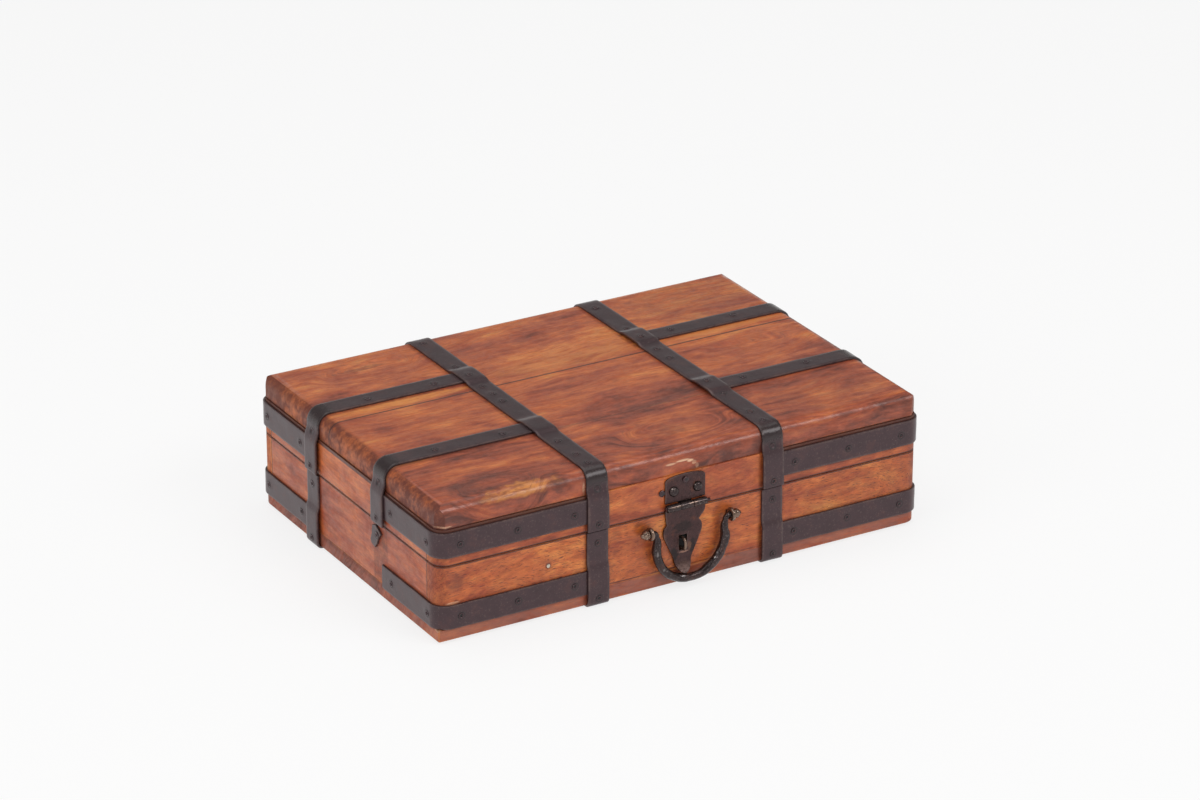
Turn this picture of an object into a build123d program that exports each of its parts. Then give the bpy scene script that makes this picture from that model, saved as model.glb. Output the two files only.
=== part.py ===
from build123d import *

import os
from math import atan, cos, degrees, pi, radians, sin, tan

# Ditty box: a flat hardwood box for papers and keepsakes, bound with nailed iron strip.
#
# Millimetres, +Z up. The origin is the middle of the resting plane. The long side runs along X, the hasp
# and the drop handle are on the front (-Y), and the hinges are on the back (+Y).
#
# The base tray and the lid are boxes of thick boards. Two long straps run over the lid from front to back
# and end in rolled hinge knuckles. Cross straps run from them to the ends, and corner bands tie the walls.

# Wood
box_length = 350.0
box_width = 240.0
wall = 14.0
bottom_thickness = 9.5
base_wall_height = 40.2
lid_wall_height = 24.2
top_thickness = 15.5
seam_gap = 0.6
front_board_share = 0.283
middle_board_share = 0.321
wall_corner_radius = 9.0
bottom_corner_radius = 1.2
top_inset = 1.0
top_edge_radius = 8.0
top_corner_chamfer = 4.8

# Iron strip: straps and corner bands are cut from the same stock
strip_width = 16.0
strip_thickness = 1.5
long_strap_share = 0.363
cross_strap_share = 0.375
lid_band_lift = 5.7
base_band_lift = 7.7
band_tuck = 4.5
cross_strap_tuck = 10.0
joggle_run = 1.8
joggle_clearance = 0.3
return_length = 18.0

# Lid hinges, rolled from the ends of the long straps
hinge_pin_diameter = 3.5
pin_clearance = 0.05
hinge_middle_knuckle = 5.6
knuckle_gap = 0.2
knuckle_relief = 0.4
hinge_pin_overhang = 0.8

# Nails
nail_head_diameter = 4.2
nail_head_height = 0.8
nail_head_slopes = (45.0,)
head_sides = 8
long_strap_stations_left = (-0.91, -0.79, -0.60, -0.01, 0.10, 0.21, 0.36, 0.51, 0.88)
long_strap_stations_right = (-0.91, -0.78, -0.51, -0.34, 0.04, 0.18, 0.35, 0.50, 0.84)
cross_strap_stations = (0.503, 0.777)
long_band_stations = (0.457, 0.686, 0.914)
short_band_stations = (0.51, 0.90)
lid_nail_below_top = 11.6
lid_nail_above_seam = 4.4
hinge_nail_above_seam = 10.0
base_nail_below_seam = 7.9
base_nail_above_bottom = 4.3

# Torn end of the missing end strap: distance across from the strap's middle, and below the seam
torn_outline = (
    (4.0, 1.6), (8.6, 3.4), (9.0, 9.2), (11.2, 14.4), (9.7, 16.4), (5.4, 17.5),
    (2.4, 14.2), (1.0, 10.9), (-2.6, 6.1), (-0.9, 4.7),
)
torn_nail = (2.2, 7.9)

# Hasp
hasp_center = -0.4
hasp_thickness = 1.2
hasp_width = 29.0
hasp_pin_diameter = 2.4
hasp_pin_overhang = 2.6
hasp_axis_above_seam = 3.1
hasp_wall_clearance = 0.3
hasp_middle_knuckle = 9.0
leaf_height = 16.3
leaf_shoulder_drop = 2.1
flap_lean = -1.8
flap_shoulder_drop = 8.0
flap_neck_drop = 12.4
flap_neck_width = 23.8
flap_lobe_drop = 17.5
flap_lobe_width = 28.2
flap_hip_drop = 30.0
flap_hip_width = 22.0
flap_tongue_length = 6.1
flap_handle_gap = 1.15
flap_tongue_width = 10.4
flap_kick_angle = 35.0
flap_bend_radius = 3.0
slot_width = 6.0
slot_height = 10.6
slot_drop = 25.7
staple_wire = 2.0
staple_height = 7.4
staple_reach = 6.2
staple_shift = -0.9
staple_bend_radius = 2.2
staple_flat_count = 2
staple_depth = 11.0
rivet_diameter = 7.5
rivet_height = 2.2
rivet_head_slopes = (35.0, 60.0)
rivet_shank = 3.4
rivet_length = 11.0
rivet_places = ((-8.9, 10.4), (8.6, 10.2))
leaf_nail_place = (-0.4, 16.9)
side_nail_place = (-16.9, 10.5)

# Drop handle
handle_center = 1.6
handle_span = 50.0
handle_rod_diameter = 5.5
handle_neck_diameter = 4.0
handle_rest_gap = 2.75
handle_axis_below_seam = 9.2
handle_standoff = 5.0
handle_elbow_radius = 3.0
eye_clearance = 0.1
eye_thickness = 2.4
eye_gap = 0.3
eye_depth = 11.0
finial_length = 5.6
finial_diameter = 6.4
finial_tip_diameter = 1.0
finial_swell = 0.3
rod_sides = 12
bow_flat_count = 16
elbow_flat_count = 3

# Stray brad in the base's front
brad_place = (-98.0, 16.0)
brad_diameter = 3.0
brad_height = 0.6

# Levels and half sizes worked out from the above
half_length = box_length / 2
half_width = box_width / 2
long_strap_offset = long_strap_share * half_length
cross_strap_offset = cross_strap_share * half_width
wood_bottom = strip_thickness
base_floor = wood_bottom + bottom_thickness
base_top = base_floor + base_wall_height
lid_bottom = base_top + seam_gap
lid_wall_top = lid_bottom + lid_wall_height
lid_top = lid_wall_top + top_thickness
lid_band_bottom = lid_bottom + lid_band_lift
lid_band_top = lid_band_bottom + strip_width
base_band_bottom = wood_bottom + base_band_lift
base_band_top = base_band_bottom + strip_width
nail_zone = (strip_width + nail_head_diameter) / 2
end_strap_corners = ((-1, 1), (1, -1), (1, 1))

parts = {}


def block(low, high):
    """Box between two corners."""
    size = Vector(*high) - Vector(*low)
    return Pos(*((Vector(*low) + Vector(*high)) * 0.5)) * Box(size.X, size.Y, size.Z)


# ---------------------------------------------------------------- wood


def long_wall(side, low, high):
    """Front (side -1) or back (side 1) board, with its two outer corners rounded."""
    outer, inner = side * half_width, side * (half_width - wall)
    board = block((-half_length, min(outer, inner), low), (half_length, max(outer, inner), high))
    corners = board.edges().filter_by(Axis.Z).group_by(Axis.Y)[-1 if side > 0 else 0]
    return fillet(corners, wall_corner_radius)


def end_wall(side, low, high):
    """Left (side -1) or right (side 1) board, between the front and back boards."""
    outer, inner = side * half_length, side * (half_length - wall)
    reach = half_width - wall
    return block((min(outer, inner), -reach, low), (max(outer, inner), reach, high))


def tray_walls(prefix, low, high):
    parts[f"{prefix}_front_wall"] = long_wall(-1, low, high)
    parts[f"{prefix}_back_wall"] = long_wall(1, low, high)
    parts[f"{prefix}_left_wall"] = end_wall(-1, low, high)
    parts[f"{prefix}_right_wall"] = end_wall(1, low, high)


def bottom_panel():
    """Bottom board, nearly square at the corners below the corner bands and rounded behind them."""
    panel = Part()
    for low, high, radius in (
        (wood_bottom, base_band_bottom, bottom_corner_radius),
        (base_band_bottom, base_floor, wall_corner_radius),
    ):
        layer = block((-half_length, -half_width, low), (half_length, half_width, high))
        panel += fillet(layer.edges().filter_by(Axis.Z), radius)
    return panel


def rounded_over(half, plane):
    """Endless bar under the lid's top, with both of its top edges rounded over."""
    profile = Pos(0, (lid_wall_top + lid_top) / 2) * Rectangle(2 * half, top_thickness)
    profile = fillet(profile.vertices().group_by(Axis.Y)[-1], top_edge_radius)
    return extrude(plane * profile, amount=half_length, both=True)


def top_boards():
    """The lid's top: one slab with mitred round edges, sawn along X into its glued boards."""
    x, y = half_length - top_inset, half_width - top_inset
    slab = block((-x, -y, lid_wall_top), (x, y, lid_top))
    slab = chamfer(slab.edges().filter_by(Axis.Z), top_corner_chamfer)
    slab = slab & rounded_over(x, Plane.XZ) & rounded_over(y, Plane.YZ)
    first = -half_width + front_board_share * box_width
    joints = (-half_width, first, first + middle_board_share * box_width, half_width)
    for name, low, high in zip(("front", "middle", "back"), joints, joints[1:]):
        board = block((-half_length, low, lid_wall_top), (half_length, high, lid_top))
        parts[f"top_board_{name}"] = slab & board


# ---------------------------------------------------------------- iron strip


def strip(path, plane, width=strip_width, thickness=strip_thickness):
    """Strip iron bent along a path, with its thickness on the path's left and its width across."""
    section = make_face(offset(path, amount=thickness, side=Side.LEFT, kind=Kind.TANGENT))
    return extrude(plane * section, amount=width / 2, both=True)


def joggle(low, high):
    """Heights of the four corners where a strap steps out over something from low to high."""
    low_edge, high_edge = low - joggle_clearance, high + joggle_clearance
    return low_edge - joggle_run, low_edge, high_edge, high_edge + joggle_run


def side_plane(nx, ny, along):
    """Upright plane across a strap on the side that faces (nx, ny): x outwards, y up."""
    return Plane(
        origin=(along * abs(ny), along * abs(nx), 0), x_dir=(nx, ny, 0), z_dir=(ny, -nx, 0)
    )


def base_strap_path(half, top, foot):
    """Down the base, out over the corner bands, round the bottom edge and a little way under."""
    _, _, over, clear = joggle(base_band_bottom, base_band_top)
    proud = half + strip_thickness
    points = (half, top), (half, clear), (proud, over), (proud, wood_bottom), (foot, wood_bottom)
    return FilletPolyline(*points, radius=(0, 0, strip_thickness))


def base_strap(nx, ny, along):
    half = half_length if nx else half_width
    return strip(base_strap_path(half, base_top, half - return_length), side_plane(nx, ny, along))


def lid_edge(half):
    """From the seam up the lid's side, over the band, in past the wall to the slab and to its corner."""
    over = lid_band_top + joggle_clearance
    proud, slab = half + strip_thickness, half - top_inset
    landing = lid_wall_top + (lid_wall_top - over) * top_inset / strip_thickness
    return [(proud, lid_bottom), (proud, over), (slab, landing), (slab, lid_top)]


def cross_strap(sx, y):
    """From under a long strap to the end, round the edge and down to the seam."""
    tuck = long_strap_offset + strip_width / 2 - cross_strap_tuck
    points = [(tuck, lid_top)] + lid_edge(half_length)[::-1]
    path = FilletPolyline(*points, radius=(top_edge_radius, 0, 0))
    return strip(path, side_plane(sx, 0, y))


def lid_strap(x):
    """Long strap over the lid, front seam to hinge, stepping over the cross straps on the way."""
    low, edge, _, _ = joggle(lid_band_bottom, lid_band_top)
    front = [(-y, z) for y, z in lid_edge(half_width)]
    back = lid_edge(half_width)[:0:-1] + [(half_width + strip_thickness, edge), (half_width, low)]
    raised = lid_top + strip_thickness
    steps = []
    for middle in (-cross_strap_offset, cross_strap_offset):
        start, rise, fall, end = joggle(middle - strip_width / 2, middle + strip_width / 2)
        steps += [(start, lid_top), (rise, raised), (fall, raised), (end, lid_top)]
    points = front + steps + back + [(half_width, hinge_z + knuckle_relief)]
    bends = [top_edge_radius if point in (front[-1], back[0]) else 0 for point in points[1:-1]]
    plane = Plane(origin=(x, 0, 0), x_dir=(0, 1, 0), z_dir=(1, 0, 0))
    sheet = strip(FilletPolyline(*points, radius=bends), plane)
    for side in (-1, 1):
        sheet -= knuckle_window(x + side * strip_width / 2, strip_width - hinge_middle_knuckle, hinge_z)
    return sheet + knuckle(x, hinge_middle_knuckle) - hinge_bore(x)


def corner_band(sx, sy, low):
    """Band round one corner, its ends tucked under the straps. Drawn for (+X, +Y), then mirrored."""
    start = long_strap_offset + strip_width / 2 - band_tuck
    end = cross_strap_offset + strip_width / 2 - band_tuck
    path = FilletPolyline(
        (start, half_width), (half_length, half_width), (half_length, end), radius=wall_corner_radius
    )
    section = make_face(offset(path, amount=strip_thickness, side=Side.LEFT, kind=Kind.TANGENT))
    band = Pos(0, 0, low) * extrude(section, amount=strip_width)
    if sx < 0:
        band = mirror(band, about=Plane.YZ)
    if sy < 0:
        band = mirror(band, about=Plane.XZ)
    return band


def torn_strap_end():
    """What the missing end strap left behind under its top nail."""
    corners = [(-cross_strap_offset + across, base_top - drop) for across, drop in torn_outline]
    scrap = make_face(Polyline(*corners, close=True))
    plane = Plane(origin=(-half_length, 0, 0), x_dir=(0, 1, 0), z_dir=(1, 0, 0))
    return extrude(plane * scrap, amount=-strip_thickness)


# ---------------------------------------------------------------- lid hinges

hinge_bore_radius = hinge_pin_diameter / 2 + pin_clearance
knuckle_radius = hinge_bore_radius + strip_thickness
hinge_y = half_width + knuckle_radius
hinge_z = (base_top + lid_bottom) / 2


def along_x(x, y, z, radius, length):
    """Cylinder along X."""
    return Pos(x, y, z) * Rot(0, 90, 0) * Cylinder(radius, length)


def knuckle(x, length):
    return along_x(x, hinge_y, hinge_z, knuckle_radius, length)


def hinge_bore(x):
    return along_x(x, hinge_y, hinge_z, hinge_bore_radius, 2 * strip_width)


def knuckle_window(x, width, level):
    """Room for the other leaf's knuckle, cut from a leaf's edge."""
    reach = knuckle_radius + knuckle_relief
    return Pos(x, half_width, level) * Box(width, 4 * strip_thickness, 2 * reach)


def hinge_strap(x):
    """Base half of a hinge: a strap like those on the front, rolled into the two outer knuckles."""
    path = base_strap_path(half_width, hinge_z - knuckle_relief, half_width - return_length)
    sheet = strip(path, side_plane(0, 1, x))
    sheet -= knuckle_window(x, hinge_middle_knuckle + 2 * knuckle_gap, hinge_z)
    outer = (strip_width - hinge_middle_knuckle) / 2 - knuckle_gap
    for side in (-1, 1):
        sheet += knuckle(x + side * (strip_width - outer) / 2, outer)
    return sheet - hinge_bore(x)


def hinge_pin(x):
    length = strip_width + 2 * hinge_pin_overhang
    return along_x(x, hinge_y, hinge_z, hinge_pin_diameter / 2, length)


# ---------------------------------------------------------------- hasp

hasp_bore_radius = hasp_pin_diameter / 2 + pin_clearance
hasp_barrel_radius = hasp_bore_radius + hasp_thickness
hasp_y = -half_width - hasp_wall_clearance - hasp_barrel_radius
hasp_z = lid_bottom + hasp_axis_above_seam
hasp_relief = hasp_barrel_radius + hasp_wall_clearance
front_plane = Plane(origin=(0, -half_width, 0), x_dir=(1, 0, 0), z_dir=(0, -1, 0))
leaf_low = hasp_z + hasp_relief
flap_x = hasp_center + flap_lean
slot_z = hasp_z - slot_drop
flap_tip_z = handle_rest_gap + handle_rod_diameter + flap_handle_gap
flap_bend_z = flap_tip_z + flap_tongue_length
flap_kick_run = (flap_tongue_length + hasp_thickness) * tan(radians(flap_kick_angle))


def hasp_barrel(x, length):
    return along_x(x, hasp_y, hasp_z, hasp_barrel_radius, length)


def hasp_bore():
    return along_x(hasp_center, hasp_y, hasp_z, hasp_bore_radius, 2 * hasp_width)


def hasp_leaf():
    """Upper leaf on the lid, with an arched top edge, rolled into the middle knuckle."""
    half, top = hasp_width / 2, leaf_low + leaf_height + leaf_shoulder_drop
    left, right = hasp_center - half, hasp_center + half
    outline = Polyline((left, top - leaf_shoulder_drop), (left, leaf_low), (right, leaf_low),
                       (right, top - leaf_shoulder_drop))
    arch = ThreePointArc(outline @ 1, (hasp_center, top), outline @ 0)
    leaf = extrude(front_plane * make_face(outline + arch), amount=hasp_thickness)
    tab = block(
        (hasp_center - hasp_middle_knuckle / 2, -half_width - hasp_thickness, hasp_z + hasp_wall_clearance),
        (hasp_center + hasp_middle_knuckle / 2, -half_width, leaf_low),
    )
    return leaf + tab + hasp_barrel(hasp_center, hasp_middle_knuckle) - hasp_bore()


def flap_edge(side):
    """One edge of the flap in front view: straight, waisted, lobed round the slot, in to the tongue."""
    barrel = hasp_center + side * hasp_width / 2
    top = (barrel, hasp_z)
    shoulder = (barrel, hasp_z - flap_shoulder_drop)
    neck = (flap_x + side * flap_neck_width / 2, hasp_z - flap_neck_drop)
    lobe = (flap_x + side * flap_lobe_width / 2, hasp_z - flap_lobe_drop)
    hip = (flap_x + side * flap_hip_width / 2, hasp_z - flap_hip_drop)
    bend = (flap_x + side * flap_tongue_width / 2, flap_bend_z)
    upper, lower = TangentArc(lobe, neck, tangent=(0, 1)), TangentArc(lobe, hip, tangent=(0, -1))
    return Polyline(top, shoulder, neck) + upper + lower + Line(hip, bend)


def hasp_flap():
    """Flap with its tongue bent outwards, slotted for the staple, rolled into two outer knuckles."""
    right, left = flap_edge(1), flap_edge(-1)
    tongue = ThreePointArc(right @ 1, (flap_x, flap_tip_z), left @ 1)
    outline = make_face(right + tongue + left + Line(left @ 0, right @ 0))
    front = extrude(front_plane * outline, amount=2 * flap_kick_run)
    inner = half_width + hasp_wall_clearance
    path = FilletPolyline(
        (inner, hasp_z - pin_clearance),
        (inner, flap_bend_z),
        (inner + flap_kick_run, flap_tip_z - hasp_thickness),
        radius=flap_bend_radius,
    )
    flap = strip(path, side_plane(0, -1, hasp_center), 2 * hasp_width, hasp_thickness) & front
    middle = hasp_middle_knuckle / 2 + knuckle_gap
    flap -= block(
        (hasp_center - middle, -half_width - 2 * hasp_barrel_radius, hasp_z - hasp_relief),
        (hasp_center + middle, -half_width, hasp_z + hasp_relief),
    )
    outer = hasp_width / 2 - middle
    for side in (-1, 1):
        flap += hasp_barrel(hasp_center + side * (middle + outer / 2), outer)
    flap -= block(
        (flap_x - slot_width / 2, -half_width - 2 * hasp_barrel_radius, slot_z - slot_height / 2),
        (flap_x + slot_width / 2, -half_width, slot_z + slot_height / 2),
    )
    return flap - hasp_bore()


def hasp_pin():
    """Pin through the barrel, left long at its right-hand end."""
    length = hasp_width + hasp_pin_overhang
    return along_x(hasp_center + hasp_pin_overhang / 2, hasp_y, hasp_z, hasp_pin_diameter / 2, length)


def forged_bend(center, radius, start, turn, flats):
    """Corners of a bend made in equal turns, from a start angle in degrees round a center."""
    step = turn / flats
    reach = radius / cos(radians(step / 2))
    angles = [radians(start + step * (flat + 0.5)) for flat in range(flats)]
    return [(center[0] + reach * cos(angle), center[1] + reach * sin(angle)) for angle in angles]


def bent_rod(plane, corners, diameter):
    """Hammered rod of one diameter along corners in a plane."""
    path = plane * Polyline(*corners)
    across = Plane(path @ 0, x_dir=plane.z_dir, z_dir=path % 0)
    section = across * RegularPolygon(diameter / 2, rod_sides)
    return sweep(section, path=path, transition=Transition.RIGHT)


def hasp_staple():
    """Wire staple in the base that stands out through the flap's slot, for a padlock."""
    near, far = half_width - staple_depth, half_width + staple_reach
    low, high = slot_z - staple_height / 2, slot_z + staple_height / 2
    turn, bend = far - staple_bend_radius, staple_bend_radius
    upper = forged_bend((turn, high - bend), bend, 90, -90, staple_flat_count)
    lower = forged_bend((turn, low + bend), bend, 0, -90, staple_flat_count)
    plane = side_plane(0, -1, flap_x + staple_shift)
    return bent_rod(plane, [(near, high), *upper, *lower, (near, low)], staple_wire)


# ---------------------------------------------------------------- drop handle

handle_y = -half_width - handle_standoff
handle_z = base_top - handle_axis_below_seam
bow_radius = handle_span / 2
bow_z = handle_rest_gap + handle_rod_diameter / 2 + bow_radius
neck_radius = handle_neck_diameter / 2
eye_bore_radius = neck_radius + eye_clearance
eye_offset = bow_radius + handle_elbow_radius + eye_gap + eye_thickness / 2
collar_offset = eye_offset + eye_thickness / 2 + eye_gap


def drawn_rod(plane, start, end, length):
    """Straight rod drawn down from one diameter to a smaller one."""
    slope = degrees(atan((start - end) / 2 * cos(pi / rod_sides) / length))
    return plane * extrude(RegularPolygon(start / 2, rod_sides), amount=length, taper=slope)


def bail_handle():
    """Forged rod: thick in the bow, drawn down to necks that turn out through the eyes to points."""
    rise, outward = handle_z - handle_elbow_radius - bow_z, bow_radius + handle_elbow_radius
    level = rise + handle_elbow_radius
    bow = [(-bow_radius, 0), *forged_bend((0, 0), bow_radius, 180, 180, bow_flat_count), (bow_radius, 0)]
    arm = drawn_rod(Plane((bow_radius, 0, 0)), handle_rod_diameter, handle_neck_diameter, rise)
    elbow = forged_bend((outward, rise), handle_elbow_radius, 180, -90, elbow_flat_count)
    neck = bent_rod(Plane.XZ, [(bow_radius, rise), *elbow, (collar_offset, level)], handle_neck_diameter)
    swell = finial_length * finial_swell
    widest = Plane((collar_offset + swell, 0, level), x_dir=(0, 1, 0), z_dir=(1, 0, 0))
    point = drawn_rod(widest, finial_diameter, finial_tip_diameter, finial_length - swell)
    point += drawn_rod(-widest, finial_diameter, handle_neck_diameter, swell)
    side = arm + neck + point
    handle = bent_rod(Plane.XZ, bow, handle_rod_diameter) + side + mirror(side, about=Plane.YZ)
    return Pos(handle_center, handle_y, bow_z) * handle


def handle_eye(side):
    """Flat forged eye that carries one neck of the handle, its spike driven into the front board."""
    x, half = handle_center + side * eye_offset, eye_thickness / 2
    ring = along_x(x, handle_y, handle_z, eye_bore_radius + eye_thickness, eye_thickness)
    spike = block(
        (x - half, handle_y, handle_z - half), (x + half, eye_depth - half_width, handle_z + half)
    )
    return ring + spike - along_x(x, handle_y, handle_z, eye_bore_radius, eye_thickness)


# ---------------------------------------------------------------- nails and rivets


def forged_head(diameter, height, slopes):
    """Faceted head standing on z = 0, in one step for each slope."""
    head, face = Part(), RegularPolygon(diameter / 2, head_sides)
    for slope in slopes:
        step = extrude(face, amount=height / len(slopes), taper=slope)
        head, face = head + step, step.faces().sort_by(Axis.Z)[-1]
    return head


def side_seat(nx, ny, along, out, z):
    """Plane on the face that a head on the side facing (nx, ny) sits on."""
    half = half_length if nx else half_width
    return Plane(
        origin=(nx * (half + out) + along * abs(ny), ny * (half + out) + along * abs(nx), z),
        x_dir=(ny, -nx, 0),
        z_dir=(nx, ny, 0),
    )


def top_seat(x, y):
    """Plane on a strap on top of the lid, one strip higher where a long strap crosses a cross strap."""
    crossing = abs(x) < long_strap_offset + strip_width / 2 and abs(abs(y) - cross_strap_offset) < nail_zone
    return Plane(origin=(x, y, lid_top + strip_thickness * (2 if crossing else 1)))


def band_seats(z):
    """Nails along the four corner bands at one height."""
    seats = []
    for side in (-1, 1):
        for share in long_band_stations:
            seats += [side_seat(0, ny, side * share * half_length, strip_thickness, z) for ny in (-1, 1)]
        for share in short_band_stations:
            seats += [side_seat(nx, 0, side * share * half_width, strip_thickness, z) for nx in (-1, 1)]
    return seats


def lid_nail_seats():
    proud, slab = 2 * strip_thickness, strip_thickness - top_inset
    upper, lower = lid_top - lid_nail_below_top, lid_bottom + lid_nail_above_seam
    seats = band_seats(lid_band_bottom + strip_width / 2)
    for x, stations in (
        (-long_strap_offset, long_strap_stations_left),
        (long_strap_offset, long_strap_stations_right),
    ):
        seats += [top_seat(x, share * half_width) for share in stations]
        seats += [side_seat(0, ny, x, slab, upper) for ny in (-1, 1)]
        seats.append(side_seat(0, -1, x, proud, lower))
        seats.append(side_seat(0, 1, x, proud, lid_bottom + hinge_nail_above_seam))
    for sx in (-1, 1):
        for y in (-cross_strap_offset, cross_strap_offset):
            seats += [top_seat(sx * share * half_length, y) for share in cross_strap_stations]
            seats += [side_seat(sx, 0, y, slab, upper), side_seat(sx, 0, y, proud, lower)]
    for (x, rise), out in ((leaf_nail_place, hasp_thickness), (side_nail_place, 0)):
        seats.append(side_seat(0, -1, x, out, hasp_z + rise))
    return seats


def base_nail_seats():
    upper, lower = base_top - base_nail_below_seam, wood_bottom + base_nail_above_bottom
    seats = band_seats(base_band_bottom + strip_width / 2)
    for x in (-long_strap_offset, long_strap_offset):
        for ny in (-1, 1):
            seats.append(side_seat(0, ny, x, strip_thickness, upper))
            seats.append(side_seat(0, ny, x, 2 * strip_thickness, lower))
    for sx, sy in end_strap_corners:
        seats.append(side_seat(sx, 0, sy * cross_strap_offset, strip_thickness, upper))
        seats.append(side_seat(sx, 0, sy * cross_strap_offset, 2 * strip_thickness, lower))
    across, drop = torn_nail
    seats.append(side_seat(-1, 0, across - cross_strap_offset, strip_thickness, base_top - drop))
    return seats


def nails(seats):
    head = forged_head(nail_head_diameter, nail_head_height, nail_head_slopes)
    return Compound(children=[seat * head for seat in seats])


def hasp_rivet(x, rise):
    """Rivet through the hasp's leaf into the lid's front board."""
    head = forged_head(rivet_diameter, rivet_height, rivet_head_slopes)
    shank = Pos(0, 0, -rivet_length / 2) * Box(rivet_shank, rivet_shank, rivet_length)
    return side_seat(0, -1, x, hasp_thickness, hasp_z + rise) * (head + shank)


# ---------------------------------------------------------------- build

tray_walls("base", base_floor, base_top)
tray_walls("lid", lid_bottom, lid_wall_top)
parts["base_bottom_panel"] = bottom_panel()
top_boards()

for name, x in (("left", -long_strap_offset), ("right", long_strap_offset)):
    parts[f"lid_strap_{name}"] = lid_strap(x)
    parts[f"base_front_strap_{name}"] = base_strap(0, -1, x)
    parts[f"base_hinge_strap_{name}"] = hinge_strap(x)
    parts[f"hinge_pin_{name}"] = hinge_pin(x)
for end, sx in (("left", -1), ("right", 1)):
    for depth, sy in (("front", -1), ("back", 1)):
        parts[f"cross_strap_{end}_{depth}"] = cross_strap(sx, sy * cross_strap_offset)
        parts[f"lid_corner_band_{end}_{depth}"] = corner_band(sx, sy, lid_band_bottom)
        parts[f"base_corner_band_{end}_{depth}"] = corner_band(sx, sy, base_band_bottom)
        if (sx, sy) in end_strap_corners:
            parts[f"base_end_strap_{end}_{depth}"] = base_strap(sx, 0, sy * cross_strap_offset)
parts["torn_strap_end"] = torn_strap_end()

rivets = [hasp_rivet(x, rise) for x, rise in rivet_places]
parts["hasp_leaf"] = hasp_leaf() - rivets
parts["hasp_rivets"] = Compound(children=rivets)
parts["hasp_flap"] = hasp_flap()
parts["hasp_pin"] = hasp_pin()
parts["hasp_staple"] = hasp_staple()
parts["handle_eye_left"] = handle_eye(-1)
parts["handle_eye_right"] = handle_eye(1)
parts["bail_handle"] = bail_handle()
parts["lid_front_wall"] -= rivets
parts["base_front_wall"] -= [parts[node] for node in ("hasp_staple", "handle_eye_left", "handle_eye_right")]

parts["lid_nails"] = nails(lid_nail_seats())
parts["base_nails"] = nails(base_nail_seats())
brad_x, brad_drop = brad_place
brad_head = forged_head(brad_diameter, brad_height, nail_head_slopes)
parts["stray_brad"] = side_seat(0, -1, brad_x, 0, base_top - brad_drop) * brad_head

os.makedirs("parts", exist_ok=True)
for node, shape in parts.items():
    export_step(shape, f"parts/{node}.step")
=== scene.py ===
from math import cos, exp, pi, radians, sin

import bmesh
import bpy
import numpy as np
from bpy.props import FloatProperty, FloatVectorProperty, IntProperty, PointerProperty
from mathutils import Matrix, Vector, noise


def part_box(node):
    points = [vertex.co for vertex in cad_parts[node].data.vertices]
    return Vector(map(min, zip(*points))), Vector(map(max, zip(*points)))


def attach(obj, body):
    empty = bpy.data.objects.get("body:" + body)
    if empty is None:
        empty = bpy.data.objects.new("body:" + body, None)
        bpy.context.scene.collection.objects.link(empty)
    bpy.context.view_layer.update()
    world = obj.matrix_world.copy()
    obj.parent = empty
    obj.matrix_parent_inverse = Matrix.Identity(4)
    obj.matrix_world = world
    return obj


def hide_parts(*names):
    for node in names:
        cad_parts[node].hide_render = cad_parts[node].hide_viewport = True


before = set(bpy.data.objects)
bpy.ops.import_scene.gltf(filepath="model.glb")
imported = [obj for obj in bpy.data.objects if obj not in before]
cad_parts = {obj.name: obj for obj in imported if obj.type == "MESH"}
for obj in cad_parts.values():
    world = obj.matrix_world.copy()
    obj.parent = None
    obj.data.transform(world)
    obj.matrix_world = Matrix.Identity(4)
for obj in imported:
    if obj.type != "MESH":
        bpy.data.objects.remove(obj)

bl_info = {
    "name": "Ditty Box",
    "version": (1, 0, 0),
    "blender": (4, 5, 0),
    "location": "3D View > Sidebar > Ditty Box",
    "description": "Dresses a strapped hardwood ditty box in lacquered boards and forged iron",
    "category": "Object",
}

# Shop measures are in millimetres, and Blender's are in metres.
MM = 0.001


def span(node):
    """Lowest and highest corner of a part of the frame, in millimetres."""
    low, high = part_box(node)
    return low / MM, high / MM


# Levels, half sizes and centres of the box, read from the frame
WALL_LOW, WALL_HIGH = span("base_front_wall")
LID_LOW, LID_HIGH = span("lid_front_wall")
SLAB_LOW, SLAB_HIGH = span("top_board_front")
LONG_LOW, LONG_HIGH = span("lid_strap_right")
CROSS_LOW, CROSS_HIGH = span("cross_strap_right_back")
LID_BAND_LOW, LID_BAND_HIGH = span("lid_corner_band_right_back")
BASE_BAND_LOW, BASE_BAND_HIGH = span("base_corner_band_right_back")
PANEL_LOW, PANEL_HIGH = span("base_bottom_panel")
PIN_LOW, PIN_HIGH = span("hinge_pin_right")
HASP_LOW, HASP_HIGH = span("hasp_pin")
LEAF_LOW, LEAF_HIGH = span("hasp_leaf")
FLAP_TIP = span("hasp_flap")[0].z
STAPLE_LOW, STAPLE_HIGH = span("hasp_staple")
BAIL_LOW, BAIL_HIGH = span("bail_handle")
EYE_LOW, EYE_HIGH = span("handle_eye_left")
HALF_X, HALF_Y = WALL_HIGH.x, -WALL_LOW.y
SLAB_X, SLAB_Y = SLAB_HIGH.x, -SLAB_LOW.y
WOOD_BOTTOM, FLOOR, SEAM_BASE, SEAM_LID = PANEL_LOW.z, PANEL_HIGH.z, WALL_HIGH.z, LID_LOW.z
WALL_TOP, TOP = LID_HIGH.z, SLAB_HIGH.z
STRAP_X, CROSS_Y = (LONG_LOW.x + LONG_HIGH.x) / 2, (CROSS_LOW.y + CROSS_HIGH.y) / 2
STRAP_WIDTH, STRAP_THICKNESS = LONG_HIGH.x - LONG_LOW.x, CROSS_HIGH.z - TOP
HINGE_Y, HINGE_Z = (PIN_LOW.y + PIN_HIGH.y) / 2, (PIN_LOW.z + PIN_HIGH.z) / 2
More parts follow.
